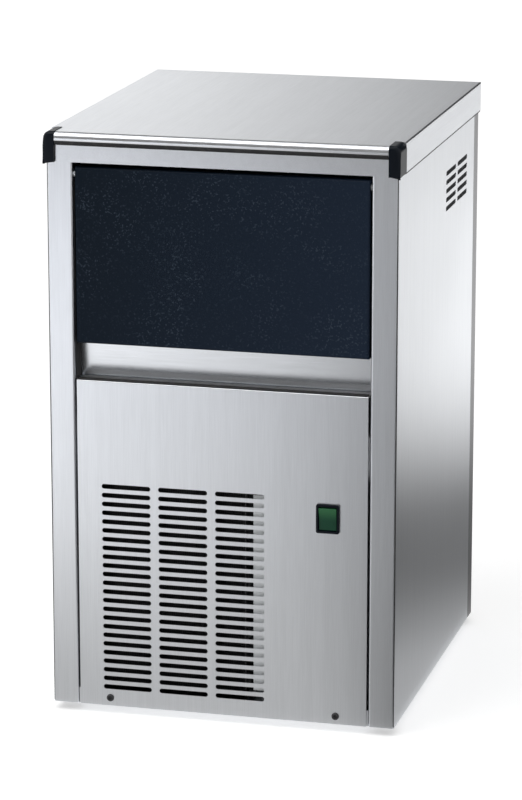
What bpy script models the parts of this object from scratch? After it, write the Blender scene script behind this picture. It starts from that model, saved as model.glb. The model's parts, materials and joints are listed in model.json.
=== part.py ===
"""Under-counter ice cube maker.

A stainless casing on four feet holds an insulated ice bin with an upward-opening door. A spray-type
ice-making unit hangs at the back of the bin, and the refrigerating set stands below it, behind the
slotted lower front panel.

Units are metres, +Z is up and the front faces -Y. The origin is the middle of the footprint, on the floor.
"""

import math

import bmesh
import bpy
from mathutils import Matrix, Vector

# Casing
body_width = 0.350
body_depth = 0.399
overall_height = 0.590
sheet = 0.0012
fit_gap = 0.0003
overrun = 0.002
fold_radius = 0.002
fold_steps = 2
post_width = 0.026
post_return = 0.022
base_rim = 0.0165

# Feet
foot_height = 0.008
foot_radius = 0.016
foot_waist = 0.012
foot_inset = 0.056
foot_sides = 16

# Top cover and its corner caps
cover_overhang = 0.002
cover_band_height = 0.030
roll_overhang = 0.005
roll_radius = 0.006
roll_steps = 8
band_proud = 0.0017
cover_lap = 0.010
cap_width = 0.0115
cap_length = 0.029
cap_wall = 0.002
cap_proud = 0.0005
cap_side_round = 0.007
cap_front_round = 0.005
cap_notch = 0.004

# Rear channels and rear panel
rear_strip_width = 0.0245
rear_strip_face = 0.028
rear_recess = 0.020
rear_slot_columns = 3
rear_slot_rows = 9
rear_slots_bottom = 0.135

# Slots, all punched with one tool
slot_length = 0.050
slot_width = 0.0048
slot_column_pitch = 0.058
slot_row_pitch = 0.00905
slot_end_steps = 3

# Lower front panel
panel_height = 0.335
panel_side_gap = 0.002
panel_ledge = 0.022
panel_lip = 0.010
panel_rim_radius = 0.003
grille_columns = 3
grille_rows = 24
grille_left_inset = 0.0524
grille_bottom = 0.0198
panel_screw_inset = 0.0592
panel_screw_height = 0.0082
screw_head_radius = 0.00375
screw_head_height = 0.002
screw_radius = 0.002
screw_length = 0.008
screw_recess = 0.0011
screw_slot_width = 0.0012

# Side vents
vent_columns = 2
vent_rows = 5
vent_depth = 0.2290
vent_drop = 0.0661

# Switch
switch_offset = 0.1075
switch_height = 0.2106
bezel_width = 0.0231
bezel_height = 0.0290
bezel_thickness = 0.0022
switch_lip = 0.0014
switch_body_depth = 0.018
switch_pocket_depth = 0.010
rocker_width = 0.0178
rocker_height = 0.0226
rocker_play = 0.0007
rocker_pivot_depth = 0.003
rocker_front = 0.0042
rocker_dip = 0.0010
rocker_back = 0.0030
rocker_tilt = math.radians(7)

# Bin door
door_side_gap = 0.002
door_top_gap = 0.0045
door_bottom_height = 0.372
door_depth = 0.016
door_wall = 0.0025
door_rounding = 0.003
door_pivot_inset = 0.008
door_pin_radius = 0.004
door_pin_head = 0.0062
door_pin_head_thickness = 0.002
door_pin_end = 0.004
pin_sides = 16

# Stainless trim below the door
trim_bottom_depth = 0.0240
trim_top_depth = 0.0200
trim_top_height = 0.382
trim_skirt = 0.010
trim_lip = 0.010

# Ice bin
deck_height = 0.289
deck_flange = 0.018
foam = 0.016
liner_wall = 0.003
rear_duct = 0.018

# Ice-making unit
unit_depth = 0.124
unit_drop = 0.1302
unit_wall = 0.0025
sump_height = 0.038
housing_height = 0.080
housing_right_gap = 0.012
pump_bay = 0.098
cup_rows = 3
cup_pitch = 0.036
cup_height = 0.030
cup_mouth_radius = 0.0140
cup_top_radius = 0.0120
cup_wall = 0.0014
cup_sides = 10
cup_margin = 0.006
evaporator_plate_thickness = 0.002
coil_radius = 0.004
coil_overhang = 0.006
chute_thickness = 0.003
chute_front_rise = 0.008
chute_back_rise = 0.040
chute_slots = 10
chute_slot_width = 0.007
chute_slot_margin = 0.012
spray_bar_height = 0.010
spray_bar_rise = 0.010
nozzle_height = 0.006
nozzle_radius = 0.0035
nozzle_tip_radius = 0.0015

# Curtain
curtain_flaps = 3
flap_gap = 0.001
flap_thickness = 0.0015
flap_knuckle_radius = 0.0045
flap_length = 0.062
curtain_rod_radius = 0.002
curtain_rod_drop = 0.008
curtain_rod_inset = 0.007
knuckle_steps = 10

# Water pump
pump_offset = 0.038
pump_plate_width = 0.057
pump_plate_thickness = 0.002
pump_neck_radius = 0.008
pump_volute_radius = 0.020
pump_volute_height = 0.016
pump_wall = 0.0025
pump_floor_gap = 0.004
pump_motor_radius = 0.025
pump_motor_height = 0.050
pump_shaft_radius = 0.0025
pump_shaft_socket = 0.012
impeller_radius = 0.015
impeller_thickness = 0.004
impeller_vanes = 6
impeller_vane_height = 0.004
impeller_vane_thickness = 0.0015
pump_inlet_radius = 0.006

# Overflow standpipe
standpipe_radius = 0.006
standpipe_bore = 0.003
standpipe_plug_radius = 0.0042
standpipe_height = 0.026
standpipe_inset = 0.0115
standpipe_front_inset = 0.018

# Refrigerating set
condenser_width = 0.166
condenser_depth = 0.040
condenser_top_gap = 0.0525
condenser_left_gap = 0.0338
condenser_front_gap = 0.017
condenser_fins = 36
condenser_fin = 0.0012
condenser_core_share = 0.34
shroud_gap = 0.003
shroud_hole_radius = 0.076
shroud_collar_depth = 0.014
strap_width = 0.024
strap_reach = 0.042
strap_gauge = 0.0024
hole_sides = 24
blade_radius = 0.072
blade_count = 5
blade_thickness = 0.0016
blade_chord = 0.040
blade_pitch = math.radians(24)
blade_hub_radius = 0.016
blade_hub_length = 0.018
blade_from_shroud = 0.020
fan_motor_radius = 0.032
fan_motor_length = 0.044
fan_boss_radius = 0.014
fan_boss_length = 0.008
fan_shaft_radius = 0.004
fan_shaft_end = 0.004

compressor_radius = 0.062
compressor_height = 0.150
compressor_seam_height = 0.080
compressor_seam = 0.003
compressor_crown = 0.030
compressor_side_gap = 0.0128
compressor_rear_gap = 0.052
compressor_foot_width = 0.146
compressor_foot_depth = 0.110
compressor_foot_thickness = 0.003
compressor_sides = 24
stub_length = 0.014
suction_height = 0.100
discharge_height = 0.070
mount_radius = 0.011
mount_waist = 0.008
mount_height = 0.012
mount_inset = 0.013
terminal_width = 0.050
terminal_depth = 0.028
terminal_height = 0.055

pipe_radius = 0.004
pipe_bend = 0.014
pipe_over = 0.015
riser_offset = 0.008
fall_offset = 0.028
slant_below_deck = 0.018
slant_above_deck = 0.018
slant_end_above_deck = 0.1445
suction_drop = 0.050
capillary_rise = 0.012
capillary_radius = 0.0015
discharge_clear = 0.018
discharge_over = 0.017
drier_radius = 0.009
drier_length = 0.080
drier_neck_radius = 0.003
drier_neck = 0.012
drier_shoulder = 0.010
drier_height = 0.080
hot_gas_block = 0.028
hot_gas_drop = 0.062
hot_gas_coil_radius = 0.016
hot_gas_pipe_offset = 0.040

electrical_left_gap = 0.004
electrical_front_gap = 0.025
electrical_depth = 0.060
electrical_bottom = 0.033
electrical_top_gap = 0.0402

# Water connections at the back
valve_edge_gap = 0.037
valve_height = 0.080
valve_width = 0.032
valve_depth = 0.030
valve_block_height = 0.034
inlet_thread_radius = 0.0132
inlet_bore_radius = 0.0090
inlet_reach = 0.018
valve_solenoid_radius = 0.013
valve_solenoid_height = 0.024
valve_barb_radius = 0.004
hose_radius = 0.005
hose_bend = 0.018
hose_side_inset = 0.017
hose_end_height = 0.006
hose_rear_inset = 0.014
drain_offset = 0.055
drain_height = 0.040
drain_radius = 0.009
drain_bore = 0.0065
drain_bend = 0.022
drain_rear_gap = 0.034
drain_reach = 0.018
gland_edge_gap = 0.047
gland_height = 0.065
gland_radius = 0.011
gland_nose_radius = 0.007
gland_bore = 0.0040
gland_reach = 0.018
gland_flange = 0.005
gland_shank_radius = 0.008
gland_shank = 0.008

# Shares of the sizes that they follow
screw_slot_share = 0.8
blade_root_share = 0.8
stub_root_share = 0.7
fan_end_share = 0.85
corner_share = 0.49

# Fineness of the modelling
merge_distance = 0.00002
straight_turn = math.radians(0.5)
sharp_angle = math.radians(35)
crown_steps = 4
bend_steps = 3
facing_share = 0.9
cap_side_steps = 4
cap_front_steps = 3
door_edge_steps = 2
box_edge_steps = 1
capillary_side_steps = 0
pipe_side_steps = 1
hose_side_steps = 2
small_sides = 8
round_sides = 12
usual_sides = 16
pump_sides = 20

# Places that follow from the sizes
half_body = body_width / 2
half_cover = half_body + cover_overhang
half_depth = (body_depth + roll_overhang) / 2
inside_x = half_body - sheet
face_y = roll_overhang - half_depth
panel_back_y = face_y + sheet
body_bottom = foot_height
cover_top = overall_height - cap_proud
cover_bottom = overall_height - cover_band_height
casing_top = overall_height - cap_wall - fit_gap
band_y = face_y - band_proud
opening_half = half_body - post_width
return_back_y = face_y + post_return
strip_back_y = half_depth - sheet - fit_gap
strip_front_y = strip_back_y - rear_strip_width + sheet + fit_gap
rear_face_y = strip_back_y - rear_recess
rear_inner_y = rear_face_y - sheet
foam_back_y = rear_inner_y - rear_duct
duct_y = (rear_inner_y + foam_back_y) / 2
pan_floor = body_bottom + sheet
panel_top = body_bottom + panel_height

deck_top = body_bottom + deck_height + sheet
foam_bottom = deck_top + fit_gap
foam_half = inside_x - fit_gap
trim_top = body_bottom + trim_top_height
drain_y = rear_inner_y - drain_rear_gap - drain_radius
front_wall_top = trim_top - sheet - fit_gap
foam_front_y = face_y + trim_bottom_depth + sheet + fit_gap
liner_half = foam_half - foam - fit_gap
liner_inside = liner_half - liner_wall
liner_bottom = foam_bottom + foam + fit_gap
bin_floor = liner_bottom + liner_wall
liner_front_y = foam_front_y + foam + fit_gap
liner_back_y = foam_back_y - foam - fit_gap
bin_back_y = liner_back_y - liner_wall

sump_bottom = cover_bottom - unit_drop
sump_top = sump_bottom + sump_height
sump_floor = sump_bottom + unit_wall
sump_half = liner_inside - fit_gap
unit_back_y = bin_back_y - fit_gap
unit_front_y = unit_back_y - unit_depth
unit_middle_y = (unit_front_y + unit_back_y) / 2
housing_bottom = sump_top + fit_gap
housing_top = housing_bottom + housing_height
housing_right_x = liner_inside - housing_right_gap
housing_room = 2 * (sump_half - unit_wall - cup_margin) - housing_right_gap - pump_bay
cup_columns = int(housing_room / cup_pitch)
housing_inside_width = cup_columns * cup_pitch + 2 * cup_margin
housing_left_x = housing_right_x - housing_inside_width - 2 * unit_wall
cup_first_x = housing_left_x + unit_wall + cup_margin + cup_pitch / 2
cup_last_y = unit_back_y - unit_wall - cup_margin - cup_pitch / 2
cup_first_y = cup_last_y - (cup_rows - 1) * cup_pitch
plate_bottom = housing_top + fit_gap
plate_top = plate_bottom + evaporator_plate_thickness
coil_z = plate_top + fit_gap + coil_radius
coil_left_x = housing_left_x + coil_overhang
coil_right_x = housing_right_x - coil_overhang
pipe_over_z = cover_bottom + pipe_over

rod_y = unit_front_y + curtain_rod_inset
rod_z = housing_top - curtain_rod_drop
pump_x = housing_left_x - pump_offset
volute_bottom = sump_floor + pump_floor_gap
volute_top = volute_bottom + pump_volute_height
pump_plate_bottom = sump_top + fit_gap
pump_plate_top = pump_plate_bottom + pump_plate_thickness
pump_motor_bottom = pump_plate_top + fit_gap
standpipe_x = unit_wall + standpipe_inset - sump_half
standpipe_y = unit_front_y + standpipe_front_inset

rear_panel_half = half_body - rear_strip_face
valve_x = valve_edge_gap - rear_panel_half
gland_x = rear_panel_half - gland_edge_gap

condenser_left_x = condenser_left_gap - inside_x
condenser_right_x = condenser_left_x + condenser_width
condenser_middle_x = (condenser_left_x + condenser_right_x) / 2
condenser_front_y = panel_back_y + condenser_front_gap
condenser_back_y = condenser_front_y + condenser_depth
condenser_bottom = pan_floor + fit_gap
condenser_top = deck_top - sheet - condenser_top_gap
condenser_height = condenser_top - condenser_bottom
shroud_y = condenser_back_y + shroud_gap
fan_z = condenser_bottom + condenser_height / 2
blade_y = shroud_y + blade_from_shroud
strap_y = shroud_y + strap_reach
compressor_x = inside_x - compressor_side_gap - compressor_foot_width / 2
compressor_y = rear_inner_y - compressor_rear_gap - compressor_radius
mount_bottom = pan_floor + fit_gap
foot_plate_bottom = mount_bottom + mount_height + fit_gap
pot_bottom = foot_plate_bottom + compressor_foot_thickness
discharge_x = compressor_x - compressor_radius - stub_length - discharge_clear
discharge_z = condenser_top + discharge_over
hot_gas_z = deck_top - sheet - hot_gas_drop
electrical_left_x = condenser_right_x + electrical_left_gap
electrical_front_y = panel_back_y + electrical_front_gap
door_bottom = body_bottom + door_bottom_height
door_top = cover_bottom - door_top_gap
door_half = opening_half - door_side_gap
door_pivot = Vector((0, face_y + door_pivot_inset, door_top - door_pivot_inset))
switch_place = Vector((switch_offset, face_y, body_bottom + switch_height))
screw_z = body_bottom + panel_screw_height

# Colour, roughness and metallic value of each finish
STEEL = ((0.74, 0.75, 0.77, 1), 0.30, 1.0)
DARK_STEEL = ((0.42, 0.42, 0.43, 1), 0.40, 1.0)
GALVANISED = ((0.62, 0.64, 0.67, 1), 0.45, 1.0)
NAVY_PLASTIC = ((0.012, 0.020, 0.038, 1), 0.45, 0.0)
BLACK_PLASTIC = ((0.012, 0.014, 0.020, 1), 0.40, 0.0)
GREEN_LENS = ((0.020, 0.180, 0.070, 1), 0.25, 0.0)
WHITE_PLASTIC = ((0.80, 0.82, 0.83, 1), 0.40, 0.0)
GREY_PLASTIC = ((0.35, 0.37, 0.39, 1), 0.45, 0.0)
FOAM = ((0.72, 0.62, 0.40, 1), 0.90, 0.0)
RUBBER = ((0.020, 0.020, 0.022, 1), 0.80, 0.0)
BLACK_PAINT = ((0.015, 0.015, 0.016, 1), 0.50, 0.0)
COPPER = ((0.72, 0.36, 0.22, 1), 0.30, 1.0)
TINNED_COPPER = ((0.66, 0.62, 0.58, 1), 0.32, 1.0)
ALUMINIUM = ((0.66, 0.67, 0.69, 1), 0.40, 1.0)
BRASS = ((0.62, 0.46, 0.20, 1), 0.35, 1.0)
CLEAR_PLASTIC = ((0.60, 0.68, 0.72, 1), 0.20, 0.0)

# The plane of an outline: its first and second direction, and the direction it is drawn out along
PLANES = {
    "xy": (Vector((1, 0, 0)), Vector((0, 1, 0)), Vector((0, 0, 1))),
    "yz": (Vector((0, 1, 0)), Vector((0, 0, 1)), Vector((1, 0, 0))),
    "zx": (Vector((0, 0, 1)), Vector((1, 0, 0)), Vector((0, 1, 0))),
}


def clear_scene():
    for obj in list(bpy.data.objects):
        bpy.data.objects.remove(obj, do_unlink=True)


def new_collection(name):
    collection = bpy.data.collections.new(name)
    bpy.context.scene.collection.children.link(collection)
    return collection


def finish_of(name, finish):
    colour, roughness, metallic = finish
    material = bpy.data.materials.new(name)
    material.use_nodes = True
    shader = material.node_tree.nodes["Principled BSDF"]
    shader.inputs["Base Color"].default_value = colour
    shader.inputs["Roughness"].default_value = roughness
    shader.inputs["Metallic"].default_value = metallic
    return material


def add_object(name, mesh, place, finish):
    obj = bpy.data.objects.new(name, mesh)
    obj.location = place
    parts.objects.link(obj)
    if finish:
        mesh.materials.clear()
        mesh.materials.append(finish_of(name, finish))
    return obj


def add_from_bmesh(name, bm, place, finish):
    mesh = bpy.data.meshes.new(name)
    bm.to_mesh(mesh)
    bm.free()
    return add_object(name, mesh, place, finish)


def turn_to(obj, direction):
    """Turns an object so that its local Z points along direction."""
    obj.rotation_euler = Vector((0, 0, 1)).rotation_difference(Vector(direction)).to_euler()
    return obj


def carry(obj, pivot):
    """Hangs an object, placed in the world, on an empty on its joint's axis."""
    obj.parent = pivot
    obj.location = obj.location - pivot.location
    return obj


def pivot_at(name, place):
    pivot = bpy.data.objects.new(name, None)
    pivot.location = place
    parts.objects.link(pivot)
    return pivot


def as_cutter(obj):
    """Moves a shape that only cuts or adds to another one into the cutters' collection."""
    parts.objects.unlink(obj)
    cutters.objects.link(obj)
    obj.hide_render = True
    obj.display_type = "WIRE"
    return obj


def boolean(obj, other, operation):
    modifier = obj.modifiers.new(other.name, "BOOLEAN")
    modifier.operation = operation
    modifier.object = as_cutter(other)
    return obj


def cut(obj, *others):
    for other in others:
        boolean(obj, other, "DIFFERENCE")
    return obj


def join(obj, *others):
    for other in others:
        boolean(obj, other, "UNION")
    return obj


def repeat(obj, count, step):
    """Repeats an object count times, a step apart in its own directions."""
    modifier = obj.modifiers.new("repeat", "ARRAY")
    modifier.count = count
    modifier.use_relative_offset = False
    modifier.use_constant_offset = True
    modifier.constant_offset_displace = step
    return obj


def round_edges(obj, radius, steps):
    modifier = obj.modifiers.new("rounding", "BEVEL")
    modifier.width = radius
    modifier.segments = steps
    modifier.limit_method = "ANGLE"
    return obj


def block(name, x, y, z, finish=None):
    """A box between the pairs x, y and z, each lowest first."""
    low = Vector((x[0], y[0], z[0]))
    high = Vector((x[1], y[1], z[1]))
    bm = bmesh.new()
    bmesh.ops.create_cube(bm, size=1.0)
    bmesh.ops.scale(bm, vec=high - low, verts=bm.verts)
    return add_from_bmesh(name, bm, (low + high) / 2, finish)


def open_shell(name, x, y, z, wall, open_sides, finish, rounded_edges=None):
    """A box of sheet between the pairs x, y and z, without the sides whose outward normals are given."""
    low = Vector((x[0], y[0], z[0]))
    high = Vector((x[1], y[1], z[1]))
    bm = bmesh.new()
    bmesh.ops.create_cube(bm, size=1.0)
    bmesh.ops.scale(bm, vec=high - low, verts=bm.verts)
    bm.normal_update()
    gone = [f for f in bm.faces if any(f.normal.dot(Vector(side)) > facing_share for side in open_sides)]
    bmesh.ops.delete(bm, geom=gone, context="FACES")
    for first, second, radius, steps in rounded_edges or ():
        wanted = [e for e in bm.edges if joins_faces(e, Vector(first), Vector(second))]
        bmesh.ops.bevel(bm, geom=wanted, offset=radius, segments=steps, profile=0.5, affect="EDGES")
    obj = add_from_bmesh(name, bm, (low + high) / 2, finish)
    solidify = obj.modifiers.new("wall", "SOLIDIFY")
    solidify.thickness = wall
    solidify.offset = -1
    solidify.use_even_offset = True
    return obj


def joins_faces(edge, first, second):
    """Says whether an edge lies between two faces that look along the two directions."""
    edge_faces = list(edge.link_faces)
    if len(edge_faces) != 2:
        return False
    here, there = (face.normal for face in edge_faces)
    ways = [(first, second), (second, first)]
    return any(min(here.dot(a), there.dot(b)) > facing_share for a, b in ways)


def cylinder(name, radius, length, place, direction, finish=None, sides=usual_sides, tip_radius=None):
    """A cylinder, or a cone with tip_radius, from place along direction for its length."""
    bm = bmesh.new()
    tip = radius if tip_radius is None else tip_radius
    bmesh.ops.create_cone(bm, cap_ends=True, segments=sides, radius1=radius, radius2=tip, depth=length)
    bmesh.ops.translate(bm, vec=(0, 0, length / 2), verts=bm.verts)
    return turn_to(add_from_bmesh(name, bm, Vector(place), finish), direction)


def turned(name, profile, place, direction, finish=None, sides=usual_sides, hollow=False):
    """A solid turned about direction. Its profile, (radius, height) pairs, runs down the outer side."""
    bm = bmesh.new()
    verts = [bm.verts.new((radius, 0, height)) for radius, height in profile]
    for first, second in zip(verts, verts[1:]):
        bm.edges.new((first, second))
    if hollow:
        bm.edges.new((verts[-1], verts[0]))
    obj = turn_to(add_from_bmesh(name, bm, Vector(place), finish), direction)
    screw = obj.modifiers.new("turn", "SCREW")
    screw.axis = "Z"
    screw.angle = 2 * math.pi
    screw.steps = sides
    screw.render_steps = sides
    screw.use_merge_vertices = True
    screw.merge_threshold = merge_distance
    return obj


def rounded(path, radius, steps):
    """The path with each inner corner turned into an arc, as far as its straights allow."""
    points = [Vector(point) for point in path]
    smooth = [points[0]]
    for before, corner, after in zip(points, points[1:], points[2:]):
        arriving = corner - before
        leaving = after - corner
        along = arriving.normalized()
        onward = leaving.normalized()
        turn = along.angle(onward)
        if turn < straight_turn or radius == 0:
            smooth.append(corner)
            continue
        room = min(arriving.length, leaving.length) * corner_share
        reach = min(radius * math.tan(turn / 2), room)
        bend = reach / math.tan(turn / 2)
        inward = (onward - along * onward.dot(along)).normalized()
        centre = corner - along * reach + inward * bend
        for step in range(steps + 1):
            angle = turn * step / steps
            smooth.append(centre - inward * bend * math.cos(angle) + along * bend * math.sin(angle))
    smooth.append(points[-1])
    return smooth


def folded_sheet(name, path, plane, run, thickness, finish, radius=None):
    """A sheet bent along path, drawn out over run. Its metal lies to the left of the path."""
    first, second, third = PLANES[plane]
    bend = fold_radius if radius is None else radius
    outline = rounded(path, bend, fold_steps)
    origin = first * outline[0][0] + second * outline[0][1] + third * run[0]
    bm = bmesh.new()
    near_end = third * run[0] - origin
    verts = [bm.verts.new(first * point[0] + second * point[1] + near_end) for point in outline]
    edges = [bm.edges.new(pair) for pair in zip(verts, verts[1:])]
    drawn = bmesh.ops.extrude_edge_only(bm, edges=edges)["geom"]
    moved = [item for item in drawn if isinstance(item, bmesh.types.BMVert)]
    bmesh.ops.translate(bm, vec=third * (run[1] - run[0]), verts=moved)
    start = Vector(outline[1]) - Vector(outline[0])
    right_hand = first * start[1] - second * start[0]
    bmesh.ops.recalc_face_normals(bm, faces=bm.faces)
    near = verts[0].link_faces[0]
    if near.normal.dot(right_hand) < 0:
        bmesh.ops.reverse_faces(bm, faces=bm.faces)
    obj = add_from_bmesh(name, bm, origin, finish)
    solidify = obj.modifiers.new("gauge", "SOLIDIFY")
    solidify.thickness = thickness
    solidify.offset = -1
    solidify.use_even_offset = True
    return obj


def mesh_from_curve(name, curve, matrix, finish):
    """A mesh object of a curve, with its caps welded on."""
    source = bpy.data.objects.new(name, curve)
    bpy.context.scene.collection.objects.link(source)
    depsgraph = bpy.context.evaluated_depsgraph_get()
    mesh = bpy.data.meshes.new_from_object(source.evaluated_get(depsgraph))
    bpy.data.objects.remove(source)
    bm = bmesh.new()
    bm.from_mesh(mesh)
    bmesh.ops.remove_doubles(bm, verts=bm.verts, dist=merge_distance)
    bm.to_mesh(mesh)
    bm.free()
    obj = add_object(name, mesh, matrix.translation, finish)
    obj.rotation_euler = matrix.to_euler()
    return obj


def plate(name, outlines, plane, run, finish=None):
    """A flat shape, its outline first and its holes after, drawn out over run."""
    first, second, third = PLANES[plane]
    curve = bpy.data.curves.new(name, "CURVE")
    curve.dimensions = "2D"
    curve.fill_mode = "BOTH"
    curve.extrude = (run[1] - run[0]) / 2
    for outline in outlines:
        spline = curve.splines.new("POLY")
        spline.points.add(len(outline) - 1)
        for point, place in zip(spline.points, outline):
            point.co = (place[0], place[1], 0, 1)
        spline.use_cyclic_u = True
    turn = Matrix((first, second, third)).transposed().to_4x4()
    return mesh_from_curve(name, curve, Matrix.Translation(third * (run[0] + run[1]) / 2) @ turn, finish)


def tube(name, points, radius, bend, finish=None, side_steps=hose_side_steps):
    """A pipe along points, with all its bends of one radius."""
    curve = bpy.data.curves.new(name, "CURVE")
    curve.dimensions = "3D"
    curve.bevel_depth = radius
    curve.bevel_resolution = side_steps
    curve.use_fill_caps = True
    smooth = rounded(points, bend, bend_steps)
    spline = curve.splines.new("POLY")
    spline.points.add(len(smooth) - 1)
    origin = smooth[0]
    for point, place in zip(spline.points, smooth):
        point.co = (*(place - origin), 1)
    return mesh_from_curve(name, curve, Matrix.Translation(origin), finish)


def arc(centre, radius, start, end, steps):
    """Points of an arc in an outline's plane, both ends included."""
    turns = [start + (end - start) * step / steps for step in range(steps + 1)]
    return [(centre[0] + radius * math.cos(turn), centre[1] + radius * math.sin(turn)) for turn in turns]


def slot_outline(middle, along_first):
    """The outline of one round-ended slot, long in the plane's first direction or in its second."""
    reach = (slot_length - slot_width) / 2
    quarter = math.pi / 2
    if along_first:
        ends = ((middle[0] + reach, middle[1]), (middle[0] - reach, middle[1]))
        start = -quarter
    else:
        ends = ((middle[0], middle[1] + reach), (middle[0], middle[1] - reach))
        start = 0
    near = arc(ends[0], slot_width / 2, start, start + math.pi, slot_end_steps)
    far = arc(ends[1], slot_width / 2, start + math.pi, start + 2 * math.pi, slot_end_steps)
    return near + far


def slot_field(name, x, y, z, columns, rows, sideways):
    """Cutters for a field of slots. Each axis gives the first slot's middle, or the wall's two faces."""
    if sideways:
        one = plate(name, [slot_outline((y, z), True)], "yz", x)
        repeat(one, columns, (slot_column_pitch, 0, 0))
        return repeat(one, rows, (0, slot_row_pitch, 0))
    one = plate(name, [slot_outline((z, x), False)], "zx", y)
    repeat(one, columns, (0, slot_column_pitch, 0))
    return repeat(one, rows, (slot_row_pitch, 0, 0))


def make_base():
    pan = open_shell(
        "base_pan",
        (fit_gap - inside_x, inside_x - fit_gap),
        (panel_back_y + fit_gap, rear_inner_y - fit_gap),
        (body_bottom, body_bottom + base_rim),
        sheet,
        [(0, 0, 1)],
        STEEL,
    )
    for side in (-1, 1):
        place = (side * (half_body - panel_screw_inset), panel_back_y - overrun, screw_z)
        length = sheet + 2 * fit_gap + 2 * overrun
        cut(pan, cylinder(f"pan_screw_hole_{side}", screw_radius + fit_gap, length, place, (0, 1, 0)))
        notch_x = sorted((side * (opening_half - fit_gap), side * half_body))
        notch_y = (face_y, return_back_y + fit_gap)
        cut(pan, block(f"pan_notch_{side}", notch_x, notch_y, (0, body_bottom + base_rim + overrun)))
    places = {"front": face_y + foot_inset, "rear": strip_back_y - foot_inset}
    profile = [
        (0, foot_height - fit_gap),
        (foot_waist, foot_height - fit_gap),
        (foot_radius, foot_height / 2),
        (foot_radius, 0),
        (0, 0),
    ]
    for side, word in ((-1, "left"), (1, "right")):
        for where, y in places.items():
            place = (side * (half_body - foot_inset), y, 0)
            turned(f"foot_{where}_{word}", profile, place, (0, 0, 1), RUBBER, foot_sides)


def make_side_panels():
    for side, word in ((-1, "left"), (1, "right")):
        path = [
            (side * opening_half, return_back_y),
            (side * opening_half, face_y),
            (side * half_body, face_y),
            (side * half_body, strip_front_y - fit_gap),
        ]
        if side < 0:
            path.reverse()
        panel = folded_sheet(f"side_panel_{word}", path, "xy", (body_bottom, casing_top), sheet, STEEL)
        inner = side * (opening_half - overrun)
        length = sheet + 2 * overrun
        hole = cylinder(
            f"door_pin_hole_{word}",
            door_pin_radius + fit_gap,
            length,
            (inner, door_pivot.y, door_pivot.z),
            (side, 0, 0),
            sides=pin_sides,
        )
        notch_x = sorted((side * (half_body - cap_side_round), side * (half_body + overrun)))
        notch_y = (face_y - overrun, cap_length - half_depth + fit_gap)
        notch_z = (casing_top - cap_notch, overall_height)
        cut(panel, hole, block(f"cap_notch_{word}", notch_x, notch_y, notch_z))
        if side > 0:
            wall = (inside_x - overrun, half_body + overrun)
            first_y = face_y + vent_depth + slot_length / 2
            first_z = casing_top - vent_drop - (vent_rows - 1) * slot_row_pitch
            cut(panel, slot_field("side_vents", wall, first_y, first_z, vent_columns, vent_rows, True))


def make_rear():
    for side, word in ((-1, "left"), (1, "right")):
        inner = rear_panel_half
        path = [
            (side * half_body, strip_front_y),
            (side * half_body, strip_back_y),
            (side * inner, strip_back_y),
            (side * inner, rear_face_y),
        ]
        if side < 0:
            path.reverse()
        folded_sheet(f"rear_channel_{word}", path, "xy", (body_bottom, casing_top), sheet, DARK_STEEL)
    half = rear_panel_half - fit_gap
    panel = block("rear_panel", (-half, half), (rear_inner_y, rear_face_y), (body_bottom, casing_top), STEEL)
    wall = (rear_inner_y - overrun, rear_face_y + overrun)
    first_x = -(rear_slot_columns - 1) * slot_column_pitch / 2
    first_z = body_bottom + rear_slots_bottom
    cut(panel, slot_field("rear_slots", first_x, wall, first_z, rear_slot_columns, rear_slot_rows, False))
    holes = {
        "inlet": (valve_x, valve_height, inlet_thread_radius),
        "drain": (-drain_offset, drain_height, drain_radius),
        "gland": (gland_x, gland_height, gland_shank_radius),
    }
    for word, (x, height, radius) in holes.items():
        place = (x, wall[0], body_bottom + height)
        cut(panel, cylinder(f"{word}_hole", radius + fit_gap, wall[1] - wall[0], place, (0, 1, 0)))


def make_cover():
    cap_back_y = cap_length - half_depth
    cover = open_shell(
        "top_cover",
        (-half_cover, half_cover),
        (cap_back_y + fit_gap, half_depth),
        (cover_bottom, cover_top),
        sheet,
        [(0, 0, -1), (0, -1, 0)],
        STEEL,
    )
    centre = (roll_radius - half_depth, cover_top - roll_radius)
    meet = math.pi + math.acos((centre[0] - band_y) / roll_radius)
    bead = arc(centre, roll_radius, math.pi / 2, meet, roll_steps)
    path = [(cap_back_y + fit_gap + cover_lap, cover_top), *bead, (band_y, cover_bottom)]
    half_front = half_cover + cap_proud - cap_width - fit_gap
    front = folded_sheet("cover_front", path, "yz", (-half_front, half_front), sheet, None, radius=0)
    join(cover, front)
    for side, word in ((-1, "left"), (1, "right")):
        outer = side * (half_cover + cap_proud)
        inner = outer - side * cap_width
        edges = [((side, 0, 0), (0, 0, 1), cap_side_round, cap_side_steps)]
        edges.append(((0, -1, 0), (0, 0, 1), cap_front_round, cap_front_steps))
        open_shell(
            f"corner_cap_{word}",
            (min(outer, inner), max(outer, inner)),
            (-half_depth, cap_back_y),
            (cover_bottom, overall_height),
            cap_wall,
            [(0, 0, -1), (0, 1, 0), (-side, 0, 0)],
            BLACK_PLASTIC,
            edges,
        )


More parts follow.
